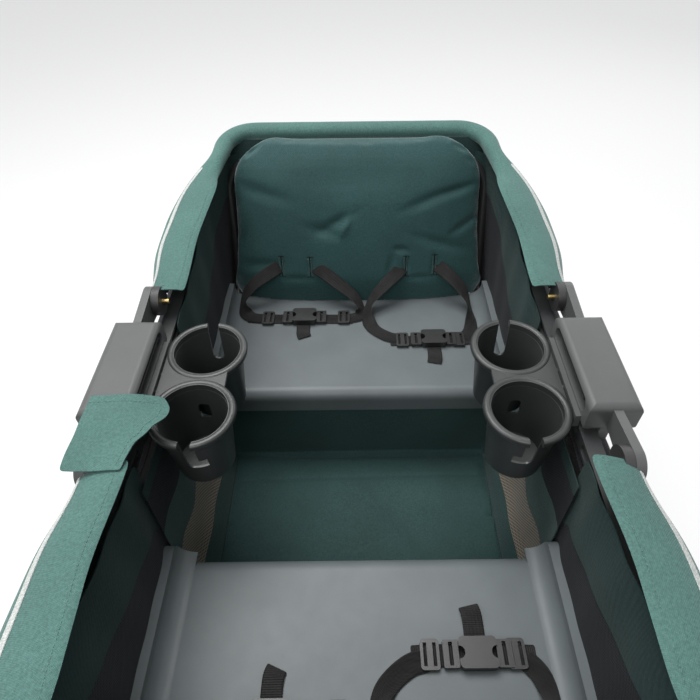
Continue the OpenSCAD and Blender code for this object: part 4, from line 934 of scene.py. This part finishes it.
for side, tag in ((1, "R"), (-1, "L")):
    made = []
    shares = [2 * i / sidesSize["columns"] - 1 for i in range(sidesSize["columns"] + 1)]
    for name, (v0, v1, finish, push) in bands.items():
        rows = []
        if name == "Border":
            lipZ = sidesSize["low"] - sidesSize["lipDrop"]
            for x in sidesSize["lip"]:
                rows.append([wagonPoint(side * x, u * sidesSize["half"], lipZ) for u in shares])
        for j in range(sidesSize["rows"] + 1):
            v = lerp(v0, v1, j / sidesSize["rows"])
            rows.append([sidesPoint(sidesSize, side, u, v, push) for u in shares])
        piece = clothPiece(f"footwell{name}{tag}", rows, sidesSize["thickness"], finish)
        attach(piece, "rear_half")
        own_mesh(piece)
        made.append(piece)
    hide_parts("footwell_sides")
print("footwell cloth")

# Outer side cloth: under the rails from the inner walls to the outside, then down to the seat frame
skirtSize = {"columns": 24, "ripple": (1.8, 0.02, 0.012), "seed": 3.0, "rippleUp": 0.5, "thickness": 0.0016,
             "middleIn": 253.2, "keep": 0.246}
skirtLine = [(249.5, 497), (262, 495), (276, 494), (292, 492), (302, 487),
             (306.5, 474), (306.5, 440), (305, 380), (301, 322)]
skirtParts = {"front": ("front_half", 131.5, 343), "rear": ("rear_half", -343, -131.5),
              "middle": ("rear_half", -130, 130)}
for part, (body, y0, y1) in skirtParts.items():
    for side, tag in ((1, "R"), (-1, "L")):
        rows = []
        for x, z in skirtLine:
            if part == "middle":
                x = max(x, skirtSize["middleIn"])
            row = []
            for i in range(skirtSize["columns"] + 1):
                y = lerp(y0, y1, i / skirtSize["columns"])
                wave = rippleAt(skirtSize["ripple"], y, z, side * skirtSize["seed"])
                row.append(wagonPoint(side * (x + wave), y, z + wave * skirtSize["rippleUp"]))
            rows.append(row)
        skirt = clothPiece(f"{part}Skirt{tag}", rows, skirtSize["thickness"], "net")
        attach(skirt, body)
        if part == "middle":
            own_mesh(skirt)
print("outer side cloth")


# Harness webbing: each strap is a ribbon along a smooth line, with the face it shows
def catmull(points, steps):
    line = []
    for k in range(len(points) - 1):
        a, b = points[max(0, k - 1)], points[k]
        c, d = points[k + 1], points[min(len(points) - 1, k + 2)]
        for s in range(steps):
            t = s / steps
            bend = (2 * a - 5 * b + 4 * c - d) * t * t + (3 * b - a - 3 * c + d) * t ** 3
            line.append(0.5 * ((2 * b) + (c - a) * t + bend))
    line.append(points[-1])
    return line


def ribbon(name, points, faces, size):
    line = catmull(points, size["steps"])
    ways = catmull(faces, size["steps"])
    rows = []
    for k, spot in enumerate(line):
        along = (line[min(len(line) - 1, k + 1)] - line[max(0, k - 1)]).normalized()
        face = (ways[k] - along * ways[k].dot(along)).normalized()
        across = along.cross(face).normalized()
        rows.append([spot + across * (size["width"] * s) for s in size["across"]])
    piece = clothGrid(name, rows)
    applyModifier(piece, "SOLIDIFY", thickness=size["thickness"], offset=0)
    applyModifier(piece, "SUBSURF", levels=1, render_levels=1)
    shadeByAngle(piece, 50)
    return piece


strapSize = {"width": 0.025, "thickness": 0.0018, "steps": 6, "across": (-0.5, -0.3, 0, 0.3, 0.5)}
# Each strap: points as x, y, z in millimetres with the way its face points
up, back = (0, 0, 1), (0, -1, 0.25)
straps = {
    "ShoulderA": [
        ((-141, 383, 430), back), ((-165, 372, 414), (-0.2, -0.8, 0.6)),
        ((-196, 361, 396), (-0.3, -0.5, 0.8)), ((-214, 350, 372), (-0.8, -0.3, 0.5)),
        ((-212, 334, 354), (-0.4, 0, 1)), ((-196, 322, 351), up), ((-170, 319, 350.5), up)],
    "ShoulderB": [
        ((-88, 383, 430), back), ((-66, 374, 416), (0.2, -0.8, 0.6)), ((-38, 362, 398), (0.2, -0.5, 0.8)),
        ((-8, 350, 376), (0.5, -0.3, 0.7)), ((6, 334, 358), (0.7, 0, 0.7)), ((0, 322, 351), up),
        ((-22, 317, 350.5), up)],
    "ShoulderC": [
        ((88, 383, 430), back), ((70, 371, 410), (-0.3, -0.8, 0.6)), ((44, 357, 390), (-0.5, -0.5, 0.7)),
        ((22, 340, 370), (-0.8, -0.2, 0.5)), ((16, 318, 357), (-0.6, 0, 0.8)), ((26, 290, 351), up),
        ((52, 268, 350.5), up), ((74, 262, 350.5), up)],
    "ShoulderD": [
        ((141, 383, 430), back), ((166, 370, 410), (0.3, -0.8, 0.6)), ((192, 354, 388), (0.5, -0.5, 0.7)),
        ((205, 332, 366), (0.9, -0.2, 0.4)), ((206, 302, 353), (0.4, 0, 1)), ((200, 278, 350.8), up),
        ((186, 262, 350.5), up)],
    "BeltLeft": [
        ((-205, 322, 349.6), up), ((-160, 319, 349.6), up), ((-110, 318, 349.6), up), ((-60, 317, 349.6), up),
        ((-10, 316, 349.6), up)],
    "BeltRight": [
        ((56, 258, 349.6), up), ((90, 257, 349.6), up), ((130, 257, 349.6), up), ((170, 258, 349.6), up),
        ((200, 259, 349.6), up)],
    "CrotchLeft": [
        ((-101, 300, 349.8), up), ((-101, 288, 350.5), up), ((-100, 276, 352), up), ((-97, 268, 350), up)],
    "CrotchRight": [
        ((132, 239, 349.8), up), ((132, 226, 350.5), up), ((131, 212, 353), up), ((129, 202, 350), up)],
}
for end in ends:
    made = []
    for name, route in straps.items():
        points = [endPoint(end, *p) for p, way in route]
        if "Shoulder" in name:
            points[0] = slitStart[end, route[0][0][0]]
        ways = [Vector((w[0], w[1] * ends[end], w[2])) for p, w in route]
        strap = ribbon(f"{end}{name}", points, ways, strapSize)
        recalcNormals(strap)
        dressed(strap, finishes["webbing"])
        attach(strap, end + "_half")
        made.append(strap)
    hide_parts(end + "_harness")
print("harness")


# Floor, light and camera
def showsBackground(tree, ray):
    total = ray.outputs["Is Camera Ray"]
    for name in ("Is Glossy Ray", "Is Transmission Ray"):
        total = combined(tree, "MAXIMUM", total, ray.outputs[name])
    return total


stageSize = {"floor": 12, "drop": 0.0005, "floorColour": (0.93, 0.93, 0.93, 1), "floorRough": 0.9,
             "floorGlow": 0.6, "skyColour": (0.92, 0.95, 1, 1), "skyStrength": 0.26}
bpy.ops.object.select_all(action="DESELECT")
bpy.ops.mesh.primitive_plane_add(size=stageSize["floor"], location=(0, 0, -stageSize["drop"]))
floor = bpy.context.active_object
floor.name = "studioFloor"
material, tree, shader = startMaterial("studioFloorPaint")
setInputs(shader, {"Base Color": stageSize["floorColour"], "Roughness": stageSize["floorRough"]})
glow = addNode(tree, "ShaderNodeEmission", {"Color": (1, 1, 1, 1), "Strength": 1.0})
mixed = addNode(tree, "ShaderNodeMixShader")
ray = addNode(tree, "ShaderNodeLightPath")
share = addNode(tree, "ShaderNodeMath", {1: stageSize["floorGlow"]}, operation="MULTIPLY")
tree.links.new(showsBackground(tree, ray), share.inputs[0])
tree.links.new(share.outputs["Value"], mixed.inputs["Fac"])
tree.links.new(shader.outputs["BSDF"], mixed.inputs[1])
tree.links.new(glow.outputs["Emission"], mixed.inputs[2])
tree.links.new(mixed.outputs["Shader"], tree.nodes["Material Output"].inputs["Surface"])
dressed(floor, material)

world = bpy.data.worlds.new("studioWorld")
scene.world = world
world.use_nodes = True
tree = world.node_tree
background = tree.nodes["Background"]
setInputs(background, {"Color": stageSize["skyColour"], "Strength": stageSize["skyStrength"]})
white = addNode(tree, "ShaderNodeBackground", {"Color": (1, 1, 1, 1), "Strength": 1.0})
ray = addNode(tree, "ShaderNodeLightPath")
mixed = addNode(tree, "ShaderNodeMixShader")
tree.links.new(showsBackground(tree, ray), mixed.inputs["Fac"])
tree.links.new(background.outputs["Background"], mixed.inputs[1])
tree.links.new(white.outputs["Background"], mixed.inputs[2])
tree.links.new(mixed.outputs["Shader"], tree.nodes["World Output"].inputs["Surface"])

lamps = {
    "ceilingSoft": {"at": (-0.45, 0.8, 2.6), "aim": (0, 0.2, 0.4), "size": 1.5, "power": 64},
    "frontSoft": {"at": (-0.3, -1.6, 2.3), "aim": (0, 0.45, 0.5), "size": 1.3, "power": 24},
    "sideSoft": {"at": (-2.2, -0.6, 1.9), "aim": (0, 0.2, 0.4), "size": 1.6, "power": 22},
    "backSoft": {"at": (1.6, 2.2, 1.8), "aim": (0, 0.2, 0.4), "size": 1.4, "power": 12},
}
for name, lamp in lamps.items():
    light = bpy.data.lights.new(name, "AREA")
    light.energy = lamp["power"]
    light.size = lamp["size"]
    thing = bpy.data.objects.new(name, light)
    scene.collection.objects.link(thing)
    thing.location = lamp["at"]
    facing = Vector(lamp["aim"]) - Vector(lamp["at"])
    thing.rotation_euler = facing.to_track_quat("-Z", "Y").to_euler()

view = {"pitch": 45.76, "roll": -0.65, "at": (0, -461, 1065), "lens": 29.24, "sensor": 36,
        "shiftX": -9 / 700, "clip": 0.02}
camera = bpy.data.cameras.new("photoCamera")
camera.lens = view["lens"]
camera.sensor_width = view["sensor"]
camera.shift_x = view["shiftX"]
camera.clip_start = view["clip"]
cameraThing = bpy.data.objects.new("photoCamera", camera)
scene.collection.objects.link(cameraThing)
tilt = Matrix.Rotation(math.radians(90 - view["pitch"]), 4, "X")
rolled = tilt @ Matrix.Rotation(math.radians(view["roll"]), 4, "Z")
cameraThing.matrix_world = Matrix.Translation(wagonPoint(*view["at"])) @ rolled
scene.camera = cameraThing
print("stage, lamps and camera")
